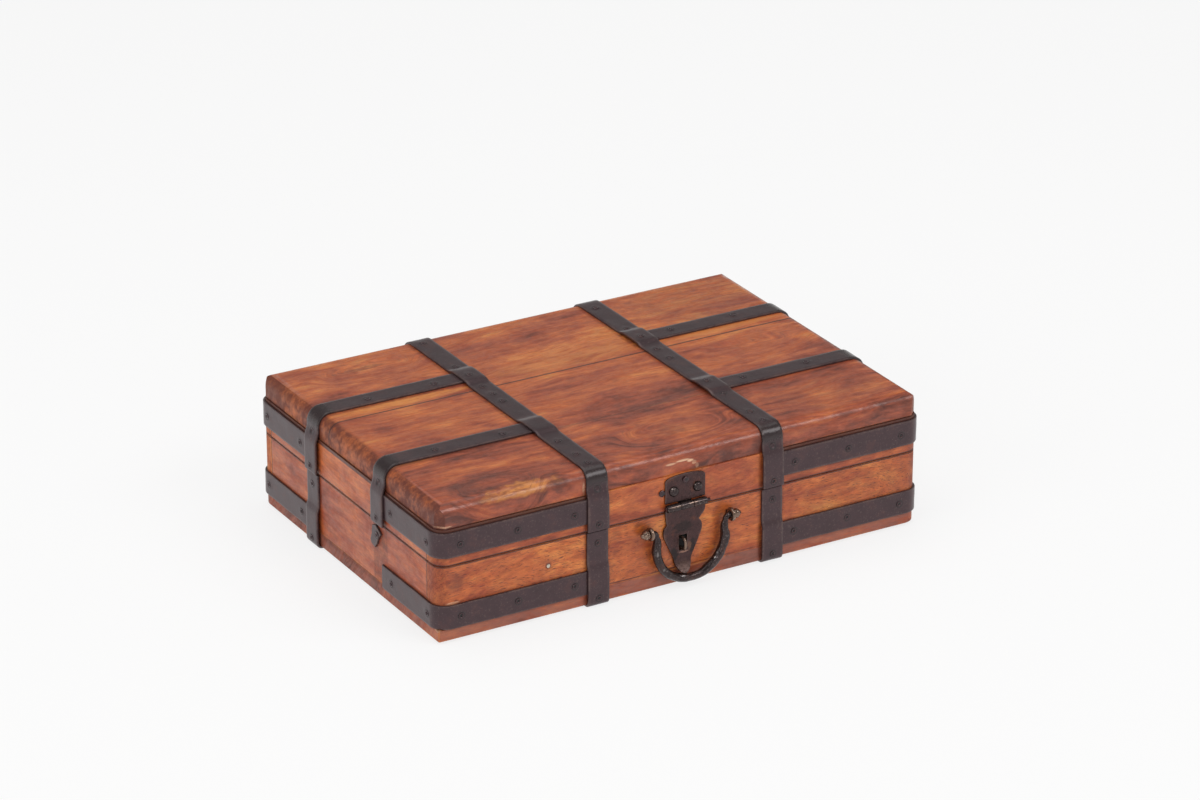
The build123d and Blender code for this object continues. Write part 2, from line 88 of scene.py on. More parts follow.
HASP_Y, HASP_Z = (HASP_LOW.y + HASP_HIGH.y) / 2, (HASP_LOW.z + HASP_HIGH.z) / 2

# Rounding of the walls' corners, and of the one corner of the bottom board left as it was sawn
WALL_CORNER, SAWN_CORNER = 9.0, 1.2
# How far in from the walls' outer faces the wood is lacquered; further in it is bare
LACQUER_DEPTH = 13.0
# Gap that the straps leave at the seam of lid and base
SEAM_EASE = 0.3
# How much narrower the straps are than the strip that they were cut from
STRAP_DRAWN = 0.8
# How far a corner band runs in under the edge of a strap
BAND_TUCK = 4.5
# Rounding of a strap where it turns down over the edge of the lid
SLAB_BEND = 8.0
# Radius of the hinges' knuckles, and how far above or below the pin their leaves begin to roll
KNUCKLE_RADIUS = HINGE_Y - HALF_Y
KNUCKLE_START = KNUCKLE_RADIUS + 0.4

# Linear colours of the joints between boards and of the painted shade under the slab and in the seam, of the
# painted shadow behind the hasp's slot, and of pits in the iron
JOINT_AND_SHADE_BLACK = (0.01, 0.006, 0.005)
SLOT_SHADOW_BLACK = (0.004, 0.0035, 0.0035)
PIT_BLACK = (0.008, 0.006, 0.006)

# Points nearer than this are one point, and edges that turn more than this are shaded sharp
JOIN_DISTANCE, SHARP_ANGLE = 0.01 * MM, radians(38.0)

# Side and place of each long strap, and each corner with the signs of its x and y
LONG_STRAPS = (("left", -STRAP_X), ("right", STRAP_X))
CORNERS = (("left_front", -1, -1), ("left_back", -1, 1), ("right_front", 1, -1), ("right_back", 1, 1))


def paint(red, green, blue):
    """Colour on the 0 to 255 scale of a paint chart, as Blender's linear values."""
    scaled = [channel / 255 for channel in (red, green, blue)]
    return tuple(c / 12.92 if c <= 0.04045 else ((c + 0.055) / 1.055) ** 2.4 for c in scaled)


def length(name, description, millimetres, low, high):
    return FloatProperty(
        name=name, description=description, default=millimetres * MM, min=low * MM, max=high * MM,
        subtype="DISTANCE", unit="LENGTH", precision=5,
    )


def colour(name, description, red, green, blue):
    return FloatVectorProperty(
        name=name, description=description, default=paint(red, green, blue), size=3, min=0.0, max=1.0,
        subtype="COLOR",
    )


class DittyBoxSizes(bpy.types.PropertyGroup):
    """Sizes that the dressing of the box works from."""

    strap_width: length("Strap width", "Width of the iron strip", STRAP_WIDTH, 8, 30)
    strap_thickness: length("Strap thickness", "Thickness of the iron strip", STRAP_THICKNESS, 0.5, 3)
    bend_softness: length("Bend softness", "How gradually the strip bends over what it crosses", 1.3, 0.2, 4)
    hammer_depth: length("Hammer depth", "How far hammer marks lift or dent the iron", 0.07, 0, 0.5)
    board_edge: length("Board edge", "Rounding of the sawn edges of the boards", 0.45, 0.05, 2)
    nail_head: length("Nail head", "Diameter of a nail's head", 4.1, 1, 6)
    nail_rise: length("Nail rise", "Height of a nail's head over the strip", 0.34, 0.1, 0.8)
    nail_dish: length("Nail dish", "Diameter of the dented ring round a nail", 5.2, 2, 9)
    dish_depth: length("Dish depth", "Depth of the dent round a nail", 0.5, 0, 1)
    bow_radius: length("Bow radius", "Radius of the drop handle's bow", 25.0, 15, 40)
    bow_rod: length("Bow thickness", "Thickness of the handle in its bow", 5.5, 3, 8)
    neck_rod: length("Neck thickness", "Thickness of the handle in its eyes", 3.7, 2, 6)
    rod_sides: IntProperty(name="Rod sides", description="Sides of a forged rod", default=24, min=8, max=48)


class DittyBoxColours(bpy.types.PropertyGroup):
    """Colours of the wood, the iron and the stage."""

    gold: colour("Gold wood", "Palest streaks of the boards", 217, 139, 64)
    amber: colour("Amber wood", "Light streaks of the boards", 189, 98, 44)
    russet: colour("Russet wood", "Main colour of the boards", 154, 68, 35)
    umber: colour("Umber wood", "Darkest streaks of the boards", 88, 35, 19)
    raw: colour("Bare wood", "Unlacquered wood inside the box", 176, 124, 82)
    iron: colour("Strap iron", "Blackened iron of the straps and nails", 65, 45, 49)
    rubbed: colour("Rubbed iron", "Iron where its edges are rubbed", 122, 104, 98)
    # Near black painted into the straps' bends over the lid, as a painted dark reflection.
    bend_reflection_black: colour("Forged iron", "Polished black iron where straps bend over the lid", 44, 37, 37)
    hammered_iron: colour("Hammered iron", "Slate iron of the handle, rivets and hasp barrel", 60, 50, 50)
    bronzed: colour("Bronzed iron", "Brown iron of the eyes, staple and handle points", 128, 106, 92)
    rust: colour("Rust", "Rust on the iron, and its stain on the wood", 112, 62, 36)
    brass: colour("Bright brad", "Head of the stray brad", 200, 190, 175)
    floor: colour("Floor", "Floor under the box", 252, 252, 252)


# ---------------------------------------------------------------- finishes


class Wire:
    """A number that varies over a surface. Sums written with it add Math nodes."""

    def __init__(self, finish, socket):
        self.finish, self.socket = finish, socket

    def sum(self, operation, *values):
        return self.finish.node("Math", {"operation": operation}, dict(enumerate(values)))

    def __add__(self, other):
        return self.sum("ADD", self, other)

    def __sub__(self, other):
        return self.sum("SUBTRACT", self, other)

    def __rsub__(self, other):
        return self.sum("SUBTRACT", other, self)

    def __mul__(self, other):
        return self.sum("MULTIPLY", self, other)

    def __abs__(self):
        return self.sum("ABSOLUTE", self)

    def lower(self, other):
        return self.sum("MINIMUM", self, other)

    def upper(self, other):
        return self.sum("MAXIMUM", self, other)

    __radd__, __rmul__ = __add__, __mul__


class Finish:
    """A material, or the sky, while its nodes are laid out."""

    def __init__(self, name, kind="materials"):
        self.material = getattr(bpy.data, kind).new(name)
        self.material.use_nodes = True
        self.nodes, self.links = self.material.node_tree.nodes, self.material.node_tree.links
        self.nodes.clear()

    def node(self, kind, settings=None, inputs=None, output=0):
        """A node of a kind, with its settings made first and its sockets set or linked."""
        made = self.nodes.new("ShaderNode" + kind)
        for name, value in (settings or {}).items():
            if name == "stops":
                self.set_stops(made.color_ramp, value)
            else:
                setattr(made, name, value)
        for name, value in (inputs or {}).items():
            self.feed(made.inputs[name], value)
        return Wire(self, made.outputs[output] if made.outputs else None)

    def feed(self, socket, value):
        if isinstance(value, Wire):
            self.links.new(value.socket, socket)
        elif hasattr(value, "__len__") and socket.type == "RGBA":
            socket.default_value = (*value[:3], 1.0)
        else:
            socket.default_value = value

    def set_stops(self, ramp, stops):
        while len(ramp.elements) < len(stops):
            ramp.elements.new(0.5)
        for element, (position, shade) in zip(ramp.elements, stops):
            element.position, element.color = position, (*shade, 1.0)

    def numbers(self, vector):
        """The three numbers of a vector."""
        return [self.node("SeparateXYZ", inputs={0: vector}, output=axis) for axis in range(3)]

    def place(self):
        """Where a point of the piece is in the box, in millimetres: the vector and its three numbers."""
        spot = self.vector("SCALE", self.node("TexCoord", output="Object"), Scale=1 / MM)
        return spot, self.numbers(spot)

    def facing(self):
        """The three numbers of the way that the surface faces."""
        return self.numbers(self.node("TexCoord", output="Normal"))

    def vector(self, operation, *values, **named):
        output = 1 if operation == "LENGTH" else 0
        return self.node("VectorMath", {"operation": operation}, {**dict(enumerate(values)), **named}, output)

    def point(self, x, y, z):
        return self.node("CombineXYZ", inputs={0: x, 1: y, 2: z})

    def cloud(self, spot, scale=1.0, detail=2.0, rough=0.5, warp=0.0):
        """Soft noise from 0 to 1."""
        return self.node("TexNoise", inputs={
            "Vector": spot, "Scale": scale, "Detail": detail, "Roughness": rough, "Distortion": warp})

    def fade(self, value, start, end):
        """0 before start, 1 past end, and smooth between them."""
        inputs = {"Value": value, "From Min": start, "From Max": end}
        return self.node("MapRange", {"interpolation_type": "SMOOTHSTEP"}, inputs)

    def blend(self, share, first, second, way="MIX"):
        settings = {"data_type": "RGBA", "blend_type": way}
        return self.node("Mix", settings, {0: share, 6: first, 7: second}, 2)

    def scale(self, value):
        """A grey that darkens what it is multiplied with."""
        return self.node("CombineColor", inputs={0: value, 1: value, 2: value})

    def patch(self, spot, centre, reach, ragged=0.0, grain=0.12):
        """1 inside an egg of a centre and half sizes, 0 outside it, with a ragged border."""
        offset = self.vector("SUBTRACT", spot, centre)
        distance = self.vector("LENGTH", self.vector("MULTIPLY", offset, [1 / size for size in reach]))
        if ragged:
            distance = distance + (self.cloud(spot, grain, 3) - 0.5) * ragged
        return self.fade(distance, 1.2, 0.6)

    def bump(self, height, millimetres):
        return self.node("Bump", inputs={"Distance": millimetres * MM, "Height": height})

    def surface(self, **sockets):
        """Principled shader with sockets named in words, as the surface."""
        shader = self.node("BsdfPrincipled", inputs={
            name.replace("_", " ").title().replace("Ior", "IOR"): value for name, value in sockets.items()})
        self.node("OutputMaterial", inputs={"Surface": shader})
        return self.material


def on_top(board):
    return board.startswith("top_board")


def on_end(board):
    """Whether a board is in an end of the box, so that its grain runs from front to back."""
    return board.endswith(("left_wall", "right_wall"))


def strap_distance(board, x, y, z):
    """Millimetres from a point of a board to the nearest edge of the iron that lies on it."""
    half = STRAP_WIDTH / 2
    if on_top(board):
        long = abs(abs(x) - STRAP_X) - half
        cross = (abs(abs(y) - CROSS_Y) - half).upper(STRAP_X - abs(x))
        return long.lower(cross)
    low, high = (BASE_BAND_LOW, BASE_BAND_HIGH) if board.startswith("base") else (LID_BAND_LOW, LID_BAND_HIGH)
    band = abs(z - (low.z + high.z) / 2) - half
    across, strap = (y, CROSS_Y) if on_end(board) else (x, STRAP_X)
    upright = abs(abs(across) - strap) - half
    return upright.lower(band.upper(strap - abs(across)))


def wood_finish(board, tone, seed, pores, figure=1.0, end_stain=0.3, knots=(), marks=(), black_patch=()):
    """Lacquered hardwood for one board of the frame, its grain along the board.

    tone leans the board to umber (0) or gold (1). Knots bend the grain round a place, and marks are patches
    of another colour: (colour, strength, centre, reach, ragged). The black patches are painted shadow, near
    black and without lacquer: (centre, reach)."""
    shades = bpy.context.scene.ditty_box_colours
    low, high = span(board)
    finish = Finish(board + "_lacquered_wood")
    spot, (x, y, z) = finish.place()
    turned = on_end(board)
    along, across = (y, x) if turned else (x, y)
    facing = finish.facing()
    lengthways = abs(facing[1] if turned else facing[0])

    # Grain lines: they run along the board, wander slowly and go round the knots.
    wander = finish.cloud(finish.point(along * 0.006, across * 0.016, z * 0.016 + seed), 1.0, 2.0)
    ripple = finish.cloud(finish.point(along * 0.026, across * 0.06, z * 0.06 + seed), 1.0, 2.0)
    lines = across + z * 0.6 + (wander - 0.5) * (46 * figure) + (ripple - 0.5) * (8 * figure)
    for centre, reach, height in knots:
        lines = lines + finish.patch(spot, centre, reach, 0.25, 0.03) * height
    broad = finish.cloud(finish.point(along * 0.0055, lines * 0.032, seed * 1.7), 1.0, 3.0, 0.55)
    streak = finish.cloud(finish.point(along * 0.030, lines * 0.20, seed * 2.3), 1.0, 6.0, 0.72)
    flame = finish.cloud(finish.point(along * 0.034, across * 0.10, z * 0.10 + seed), 1.0, 4.0, 0.68, 0.6)
    hair = finish.cloud(finish.point(along * 0.085, lines * 0.60, z * 0.3 + seed), 1.0, 4.0, 0.75)
    pore = finish.cloud(finish.point(along * 0.20, lines * 2.8 + along * 0.05, z * 1.8), 1.0, 1.0, 0.4)
    pore = finish.fade(pore, 0.60, 0.70)
    blotch = finish.cloud(spot, 0.030, 4.0, 0.66)

    depth = (broad - 0.5) * (1.2 * figure) + (streak - 0.5) * (0.95 * figure) + (flame - 0.5) * 0.75
    depth = depth + (blotch - 0.5) * 0.7 + tone
    stops = [(0.06, shades.umber), (0.36, shades.russet), (0.62, shades.amber), (0.95, shades.gold)]
    body = finish.node("ValToRGB", {"stops": stops}, {0: depth})
    body = finish.blend(1.0, body, finish.scale(1.62 - 1.24 * hair), "MULTIPLY")
    body = finish.blend(pore * pores, body, shades.umber)

    # End grain drinks more stain, and mottles.
    mottle = finish.cloud(spot, 0.24, 5.0, 0.70)
    thirsty = finish.fade(lengthways, 0.06, 0.50)
    end_tone = finish.blend(finish.fade(mottle * 0.5 + 0.5 * blotch, 0.43, 0.72), shades.umber, shades.amber)
    body = finish.blend(thirsty * end_stain, body, end_tone)
    for shade, strength, centre, reach, ragged in marks:
        grainy = finish.fade(streak * 0.6 + hair * 0.4, 0.40, 0.55) * 0.75 + 0.25
        body = finish.blend(finish.patch(spot, centre, reach, ragged) * grainy * strength, body, shade)

    # The wood is darker and rougher, in patches, within a few millimetres of the iron's edges; lacquer is
    # rubbed thin on the edges.
    beside_iron = finish.fade(strap_distance(board, x, y, z), 2.6, 0.1) * finish.fade(mottle, 0.30, 0.62)
    body = finish.blend(beside_iron * 0.55, body, shades.umber)
    distances = [(wire - a).lower(b - wire) for wire, a, b in zip((x, y, z), low, high)]
    least = distances[0].lower(distances[1]).lower(distances[2])
    most = distances[0].upper(distances[1]).upper(distances[2])
    edge = distances[0] + distances[1] + distances[2] - least - most
    rubbed = finish.fade(edge, 1.3, 0.2) * finish.fade(blotch, 0.42, 0.60)
    body = finish.blend(rubbed * 0.30, body, shades.gold)

    # Dark lines: painted shade under the slab's overhang and in the seam between lid and base, and dark
    # joints where two boards meet.
    line = finish.fade(abs(z - WALL_TOP), 2.6, 1.9).lower(finish.fade(z, WALL_TOP + 0.7, WALL_TOP + 0.4))
    if not turned:
        line = line * finish.fade(abs(x), STRAP_X - 4, STRAP_X + 4)
    seam = finish.fade(abs(z - (SEAM_BASE + SEAM_LID) / 2), 1.35, 0.85)
    line = line.upper(seam * finish.fade(abs(facing[2]), 0.98, 0.88))
    if on_top(board):
        meeting = finish.fade(distances[1], 0.95, 0.5) * finish.fade(abs(y), HALF_Y - 15, HALF_Y - 20)
        meeting = meeting * (0.5 + 0.5 * finish.fade(y, -20, 20))
    elif turned:
        meeting = finish.fade(distances[1], 1.2, 0.7) * 0.9
    else:
        meeting = 0.0
    # Near black for the dark joints, and for the painted shade under the slab and in the seam.
    joint_and_shade_dark = finish.blend(0.5, shades.umber, JOINT_AND_SHADE_BLACK)
    body = finish.blend(line.upper(meeting) * 0.9, body, joint_and_shade_dark)

    # Inside the box the boards are bare.
    inside = (abs(x) - (HALF_X - LACQUER_DEPTH)).upper(abs(y) - (HALF_Y - LACQUER_DEPTH))
    inside = inside.upper(z - (WALL_TOP + 0.5)).upper(FLOOR - 0.5 - z)
    bare = finish.fade(inside, 0.1, -0.1)
    raw = finish.blend(finish.fade(broad * 0.5 + streak * 0.5, 0.40, 0.62), shades.raw, shades.russet)
    raw = finish.blend(0.55, raw, shades.raw)
    raw = finish.blend(1.0, raw, finish.scale(0.35 + 0.75 * streak + 0.6 * hair), "MULTIPLY")
    body = finish.blend(bare, body, raw)

    # The black patch behind the hasp's slot is painted shadow and has no lacquer, and dull places have
    # little.
    dull = finish.fade(0.5 * mottle + 0.5 * streak, 0.54, 0.44)
    painted_shadow = 0.0
    for centre, reach in black_patch:
        painted_shadow = finish.patch(spot, centre, reach, 0.2)
        body = finish.blend(painted_shadow, body, SLOT_SHADOW_BLACK)
    rough = 0.30 + 0.22 * (mottle - 0.4) + 0.10 * (1 - hair) + 0.12 * beside_iron + 0.35 * bare
    rough = (rough + 0.14 * dull + 0.14 * thirsty).upper(painted_shadow)
    height = pore * -0.05 * pores + hair * 0.035 + mottle * 0.02
    lacquer = 0.45 if on_top(board) else 0.18
    coat = lacquer * (1 - bare) * (1 - 0.65 * dull) * (1 - 0.8 * thirsty) * (1 - painted_shadow)
    return finish.surface(
        base_color=body, roughness=rough, normal=finish.bump(height, 1.6),
        coat_weight=coat, coat_roughness=0.16, specular_ior_level=0.5,
    )


def iron_finish(name, base, gloss, metallic, rust=0.15, scale=1.0, glints=0.25, pits=0.0, fleck=None,
                marks=(), coat=0.25):
    """Blackened iron: mottled, rubbed bright on its edges, flecked with painted glints, and darkened in the
    dents round nails as painted shade.

    gloss is its roughness before wear, glints how strong the painted glints (small bright flecks) are, fleck
    their colour, and pits how deep the scale has pitted it. marks are patches as on the wood; on the handle
    and on the rivets and barrel they are painted highlights."""
    shades = bpy.context.scene.ditty_box_colours
    finish = Finish(name)
    spot, (x, y, z) = finish.place()
    rub = finish.node("Attribute", {"attribute_name": "rub"}, output="Fac")
    dent = finish.node("Attribute", {"attribute_name": "dent"}, output="Fac")
    mottle = finish.cloud(spot, 0.09 * scale, 5.0, 0.62)
    speck = finish.cloud(spot, 0.9 * scale, 3.0, 0.6)
    stretched = finish.vector("MULTIPLY", spot, (0.25, 0.25, 0.06))
    scratch = finish.fade(finish.cloud(stretched, 2.4, 2.0, 0.5, 1.2), 0.66, 0.74)
    bright = shades.rubbed
    pit = finish.fade(finish.cloud(spot, 0.42, 3.0, 0.6), 0.50, 0.64) * pits
    body = finish.blend(1.0, base, finish.scale(0.62 + 0.76 * mottle), "MULTIPLY")
    # Small flecks of a bright colour are painted glints.
    body = finish.blend(finish.fade(speck, 0.56, 0.70) * glints, body, fleck or bright)
    body = finish.blend(pit * 0.6, body, PIT_BLACK)
    body = finish.blend(finish.fade(mottle + 0.25 * speck, 0.66, 0.80) * rust, body, shades.rust)
    worn = rub * finish.fade(mottle + 0.5 * speck, 0.55, 0.88)
    body = finish.blend(worn * 0.5, body, bright)
    body = finish.blend(scratch * 0.16, body, bright)
    for shade, strength, centre, reach, ragged in marks:
        body = finish.blend(finish.patch(spot, centre, reach, ragged, 0.5) * strength, body, shade)
    # Painted shade: the grooves round the nail heads and their sunk middles are darkened almost to black.
    body = finish.blend(dent * 0.85, body, finish.scale(0.010 + 0.01 * mottle))
    rough = gloss + 0.22 * (mottle - 0.5) + 0.16 * (speck - 0.5) + 0.04 * worn + 0.25 * dent
    metal = metallic + 0.25 * worn - 0.2 * dent
    height = mottle * 0.16 + speck * (0.035 + 0.10 * pits) - scratch * 0.015 - pit * 0.30
    # Where the strips bend over the front and ends of the lid they are glossier, and their colour is darkened
    # almost to black as a painted dark reflection.
    front = finish.fade(y, -HALF_Y + 10, -HALF_Y + 4) * finish.fade(z, WALL_TOP + 4.5, WALL_TOP + 9)
    ends = finish.fade(abs(x), HALF_X - 15, HALF_X - 8) * finish.fade(z, WALL_TOP + 6, WALL_TOP + 10)
    bend = front.upper(ends)
    body = finish.blend(bend * 0.75, body, shades.bend_reflection_black)
    return finish.surface(
        base_color=body, roughness=rough - 0.12 * bend, metallic=metal - 0.3 * bend,
        normal=finish.bump(height, 1.0), specular_ior_level=0.5,
        coat_weight=coat * (1 - 0.7 * bend), coat_roughness=0.25,
    )


# ---------------------------------------------------------------- mesh work


class Shell:
    """Points and faces of a piece while it is made, in millimetres.

    rub says where the iron is rubbed bright, and skin which points are on its outside."""

    def __init__(self):
        self.points, self.faces, self.rub, self.skin = [], [], [], []

    def loft(self, rings, rub=None, skin=None, loop=False):
        """Skin over rings of points, each ring closed; loop joins the last ring to the first."""
        start, count = len(self.points), len(rings[0])
        for ring in rings:
            self.points.extend(ring)
            self.rub.extend(rub or [0.0] * count)
            self.skin.extend(skin or [True] * count)
        for k in range(len(rings) if loop else len(rings) - 1):
            a, b = start + k * count, start + ((k + 1) % len(rings)) * count
            for i in range(count):
                j = (i + 1) % count
                self.faces.append((a + i, a + j, b + j, b + i))
        if not loop:
            last = start + (len(rings) - 1) * count
            self.faces.append(tuple(range(start, start + count))[::-1])
            self.faces.append(tuple(range(last, last + count)))


def hammered(point, depth, pitch=9.0):
    """How far a hammer mark lifts (or dents) the iron at a point."""
    broad = noise.noise(Vector(point) / pitch)
    fine = noise.noise(Vector(point) / (pitch * 0.3) + Vector((7.0, 3.0, 1.0)))
    return depth * (1.5 * broad + 0.5 * fine)


def add_piece(name, mesh, body, finish, nodes):
    """Object of a mesh, riding on a body and standing for nodes of the frame."""
    mesh.shade_smooth()
    mesh.materials.append(finish)
    piece = bpy.data.objects.new(name, mesh)
    bpy.context.scene.collection.objects.link(piece)
    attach(piece, body)
    if nodes:
        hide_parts(*nodes)
    return piece


def even_shading(piece, keep_sharp):
    piece.modifiers.new("Even shading", "WEIGHTED_NORMAL").keep_sharp = keep_sharp


def make_piece(name, shell, body, finish, nodes=(), seats=()):
    """Piece of a shell, none of it below the floor, and dented where nails are seated."""
    points = np.array([tuple(point) for point in shell.points], float)
    dents = np.zeros(len(points))
    if seats:
        points, dents = dish_nails(points, np.array(shell.skin, bool), seats)
    points[:, 2] = np.maximum(points[:, 2], 0.0)
    mesh = bpy.data.meshes.new(name)
    mesh.from_pydata((points * MM).tolist(), [], shell.faces)
    for key, values in (("rub", shell.rub), ("dent", dents)):
        mesh.attributes.new(key, "FLOAT", "POINT").data.foreach_set("value", np.array(values, np.float32))
    work = bmesh.new()
    work.from_mesh(mesh)
    bmesh.ops.recalc_face_normals(work, faces=work.faces)
    work.to_mesh(mesh)
    work.free()
    piece = add_piece(name, mesh, body, finish, nodes)
    mesh.set_sharp_from_angle(angle=SHARP_ANGLE)
    return piece


def round_nail(points, seat, way):
    """How far each point is from a nail's own line, and how high over its seat."""
    offset = points - np.array(seat)
    rise = offset @ np.array(way)
    return np.linalg.norm(offset - rise[:, None] * np.array(way), axis=1), rise


def dish_nails(points, skin, seats):
    """Dents the skin round each nail, and says how deep in a dent's groove each point is."""
    sizes = bpy.context.scene.ditty_box_sizes
    dish, depth, head = sizes.nail_dish / MM / 2, sizes.dish_depth / MM, sizes.nail_head / MM / 2
    # Rise of the lip round a dent, and width of the lip and of the groove round the head
    lip, lip_width = 0.16, 0.55
    dents = np.zeros(len(points))
    for seat, way in seats:
        across, rise = round_nail(points, seat, way)
        near = skin & (across < dish * 1.5) & (np.abs(rise) < 1.2)
        r = across[near]
        hollow = depth * np.exp(-((r / (dish * 0.62)) ** 2)) - lip * np.exp(-(((r - dish) / lip_width) ** 2))
        points[near] -= hollow[:, None] * np.array(way)
        # How deep in the groove round the head each point is; the iron's finish paints shade there.
        dents[near] = np.maximum(dents[near], np.exp(-(((r - head) / lip_width) ** 2)) * 0.9)
    return points, dents


def nail_seats(node):
    """Where each nail of a node sits and which way it faces, from the separate heads of its mesh."""
    work = bmesh.new()
    work.from_mesh(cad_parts[node].data)
    bmesh.ops.remove_doubles(work, verts=work.verts, dist=JOIN_DISTANCE)
    seats, seen = [], set()
    for first in work.verts:
        if first in seen:
            continue
        head, queue = [], [first]
        seen.add(first)
        while queue:
            vert = queue.pop()
            head.append(vert.co / MM)
            for link in vert.link_edges:
                other = link.other_vert(vert)
                if other not in seen:
                    seen.add(other)
                    queue.append(other)
        low = Vector([min(p[axis] for p in head) for axis in range(3)])
        high = Vector([max(p[axis] for p in head) for axis in range(3)])
        middle, size = (low + high) / 2, high - low
        axis = min(range(3), key=lambda k: size[k])
        way = Vector((0, 0, 0))
        way[axis] = 1.0 if middle[axis] > 0 else -1.0
        seat = middle.copy()
        seat[axis] = low[axis] if way[axis] > 0 else high[axis]
        seats.append((seat, way))
    work.free()
    return seats


LID_SEATS, BASE_SEATS = nail_seats("lid_nails"), nail_seats("base_nails")


def seats_at(seats, axis, place, reach=2.0):
    """The seats that are within reach of a place on an axis."""
    return [seat for seat in seats if abs(seat[0][axis] - place) < reach]


def rounded_line(corners, radii):
    """Points along corners in a plane, each corner rounded by its radius."""
    steps = 12
    corners = [Vector(corner) for corner in corners]
    line = [corners[0]]
    for before, corner, after, radius in zip(corners, corners[1:], corners[2:], radii):
        a, b = (before - corner).normalized(), (after - corner).normalized()
        angle = a.angle(b)
        if radius <= 0 or angle > pi - 0.01:
            line.append(corner)
            continue
        cut = radius / np.tan(angle / 2)
        start, end = corner + a * cut, corner + b * cut
        centre = corner + (a + b).normalized() * (radius / sin(angle / 2))
        for k in range(steps + 1):
            spoke = (start - centre).lerp(end - centre, k / steps)
            line.append(centre + spoke.normalized() * radius)
    line.append(corners[-1])
    return line


def even_line(line, step):
    """The same line in equal steps."""
    line = np.array([tuple(point) for point in line], float)
    runs = np.concatenate([[0], np.cumsum(np.linalg.norm(np.diff(line, axis=0), axis=1))])
    spots = np.linspace(0, runs[-1], max(3, int(round(runs[-1] / step)) + 1))
    return np.stack([np.interp(spots, runs, line[:, k]) for k in range(line.shape[1])], 1)


def soften(line, softness, step):
    """The line with its corners eased, and its ends kept."""
    for _ in range(int(round(2 * (softness / step) ** 2))):
        line[1:-1] = line[1:-1] / 2 + (line[:-2] + line[2:]) / 4
    return line


def directions(line):
    """The way that a line runs at each of its points."""
    ways = np.gradient(line, axis=0)
    return ways / np.linalg.norm(ways, axis=1)[:, None]


class Plan:
    """A drawing plane in the box: u and v on the sheet, w across it."""

    def __init__(self, origin, u, v, w):
        self.origin, self.u, self.v, self.w = Vector(origin), Vector(u), Vector(v), Vector(w)

    def at(self, u, v, w=0.0):
        return self.origin + self.u * u + self.v * v + self.w * w

    def way(self, u, v):
        return self.u * u + self.v * v


# Rounding of the strip's long edges, and where its face is divided, from its middle outwards
EDGE_EASE = 0.45
FINE_COLUMNS = (0.0, 0.55, 1.1, 1.65, 2.2, 2.75, 3.3, 4.2, 5.6, 6.8)


def strip_section(width, thickness):
    """Section of the strip: across and up, how rubbed each point is, and which are on top."""
    half, ease = width / 2, min(EDGE_EASE, width / 8)
    top = [s for s in FINE_COLUMNS if s < half - ease - 0.4] + [half - ease]
    right = [(s, thickness, 0.0, True) for s in top[:-1]] + [(top[-1], thickness, 0.7, True)]
    right += [(half - ease * 0.3, thickness - ease * 0.3, 1.0, True), (half, thickness - ease, 0.8, False)]
    right += [(half, ease * 0.5, 0.2, False), (half - ease * 0.5, 0.0, 0.0, False)]
    left = [(-s, t, rub, skin) for s, t, rub, skin in right[:0:-1]]
    return right + left


def bent_strip(shell, plan, corners, radii, width, thickness, seats, softness=None, aside=0.0):
    """Iron strip along a line in a plan, on the line's left, with soft bends and hammer marks.

    aside is how far both its edges step against the plan's w where it lies on top of the lid."""
    sizes = bpy.context.scene.ditty_box_sizes
    softness = sizes.bend_softness / MM if softness is None else softness
    step = 0.4
    line = soften(even_line(rounded_line(corners, radii), step), softness, step)
    ways = directions(line)
    sides = np.stack([-ways[:, 1], ways[:, 0]], 1)
    # Sections are close together round nails and in bends, and far apart where the strip is plain.
    kept, travel, turn = [0], 0.0, 0.0
    for k in range(1, len(line)):
        travel += np.linalg.norm(line[k] - line[k - 1])
        turn += abs(ways[k][0] * ways[k - 1][1] - ways[k][1] * ways[k - 1][0])
        outer = plan.at(*(line[k] + sides[k] * thickness))
        near = any((outer - seat).length < 3.9 for seat, _ in seats)
        if travel >= (0.55 if near else 3.0) or turn > 0.09 or k == len(line) - 1:
            kept.append(k)
            travel, turn = 0.0, 0.0
    section = strip_section(width, thickness)
    hammer = sizes.hammer_depth / MM
    rings = []
    for number, k in enumerate(kept):
        centre = plan.at(*line[k])
        side = plan.way(*sides[k])
        climb = min(1.0, max(0.0, (centre.z - WALL_TOP) / (TOP - WALL_TOP)))
        stray = 0.16 * noise.noise(centre / 23.0) - aside * climb
        drawn = 0.25 if number in (0, len(kept) - 1) else 0.0
        ring = []
        for across, up, _, skin in section:
            reach = across + (stray if abs(across) > width * 0.3 else 0) - drawn * across / width
            lift = up - (drawn * 0.6 if up > thickness * 0.5 else 0)
            point = centre + plan.w * reach + side * lift
            if skin:
                point += side * hammered(point, hammer)
            ring.append(point)
        rings.append(ring)
    shell.loft(rings, [s[2] for s in section], [s[3] for s in section])


def turned_shape(shell, origin, way, profile, sides=20, uneven=0.0):
    """Round shape turned about a way, from (radius, rise) pairs, closed at both ends.

    uneven is the share of its radius by which it is dented out of round."""
    origin, way = Vector(origin), Vector(way).normalized()
    across = way.orthogonal().normalized()
    other = way.cross(across)
    rings = []
    for radius, rise in profile:
        ring = []
        for k in range(sides):
            angle = 2 * pi * k / sides
            spoke = across * cos(angle) + other * sin(angle)
            dent = 1 + uneven * noise.noise((origin + way * rise + spoke * radius) / 2.5)
            ring.append(origin + way * rise + spoke * radius * dent)
        rings.append(ring)
    shell.loft(rings)


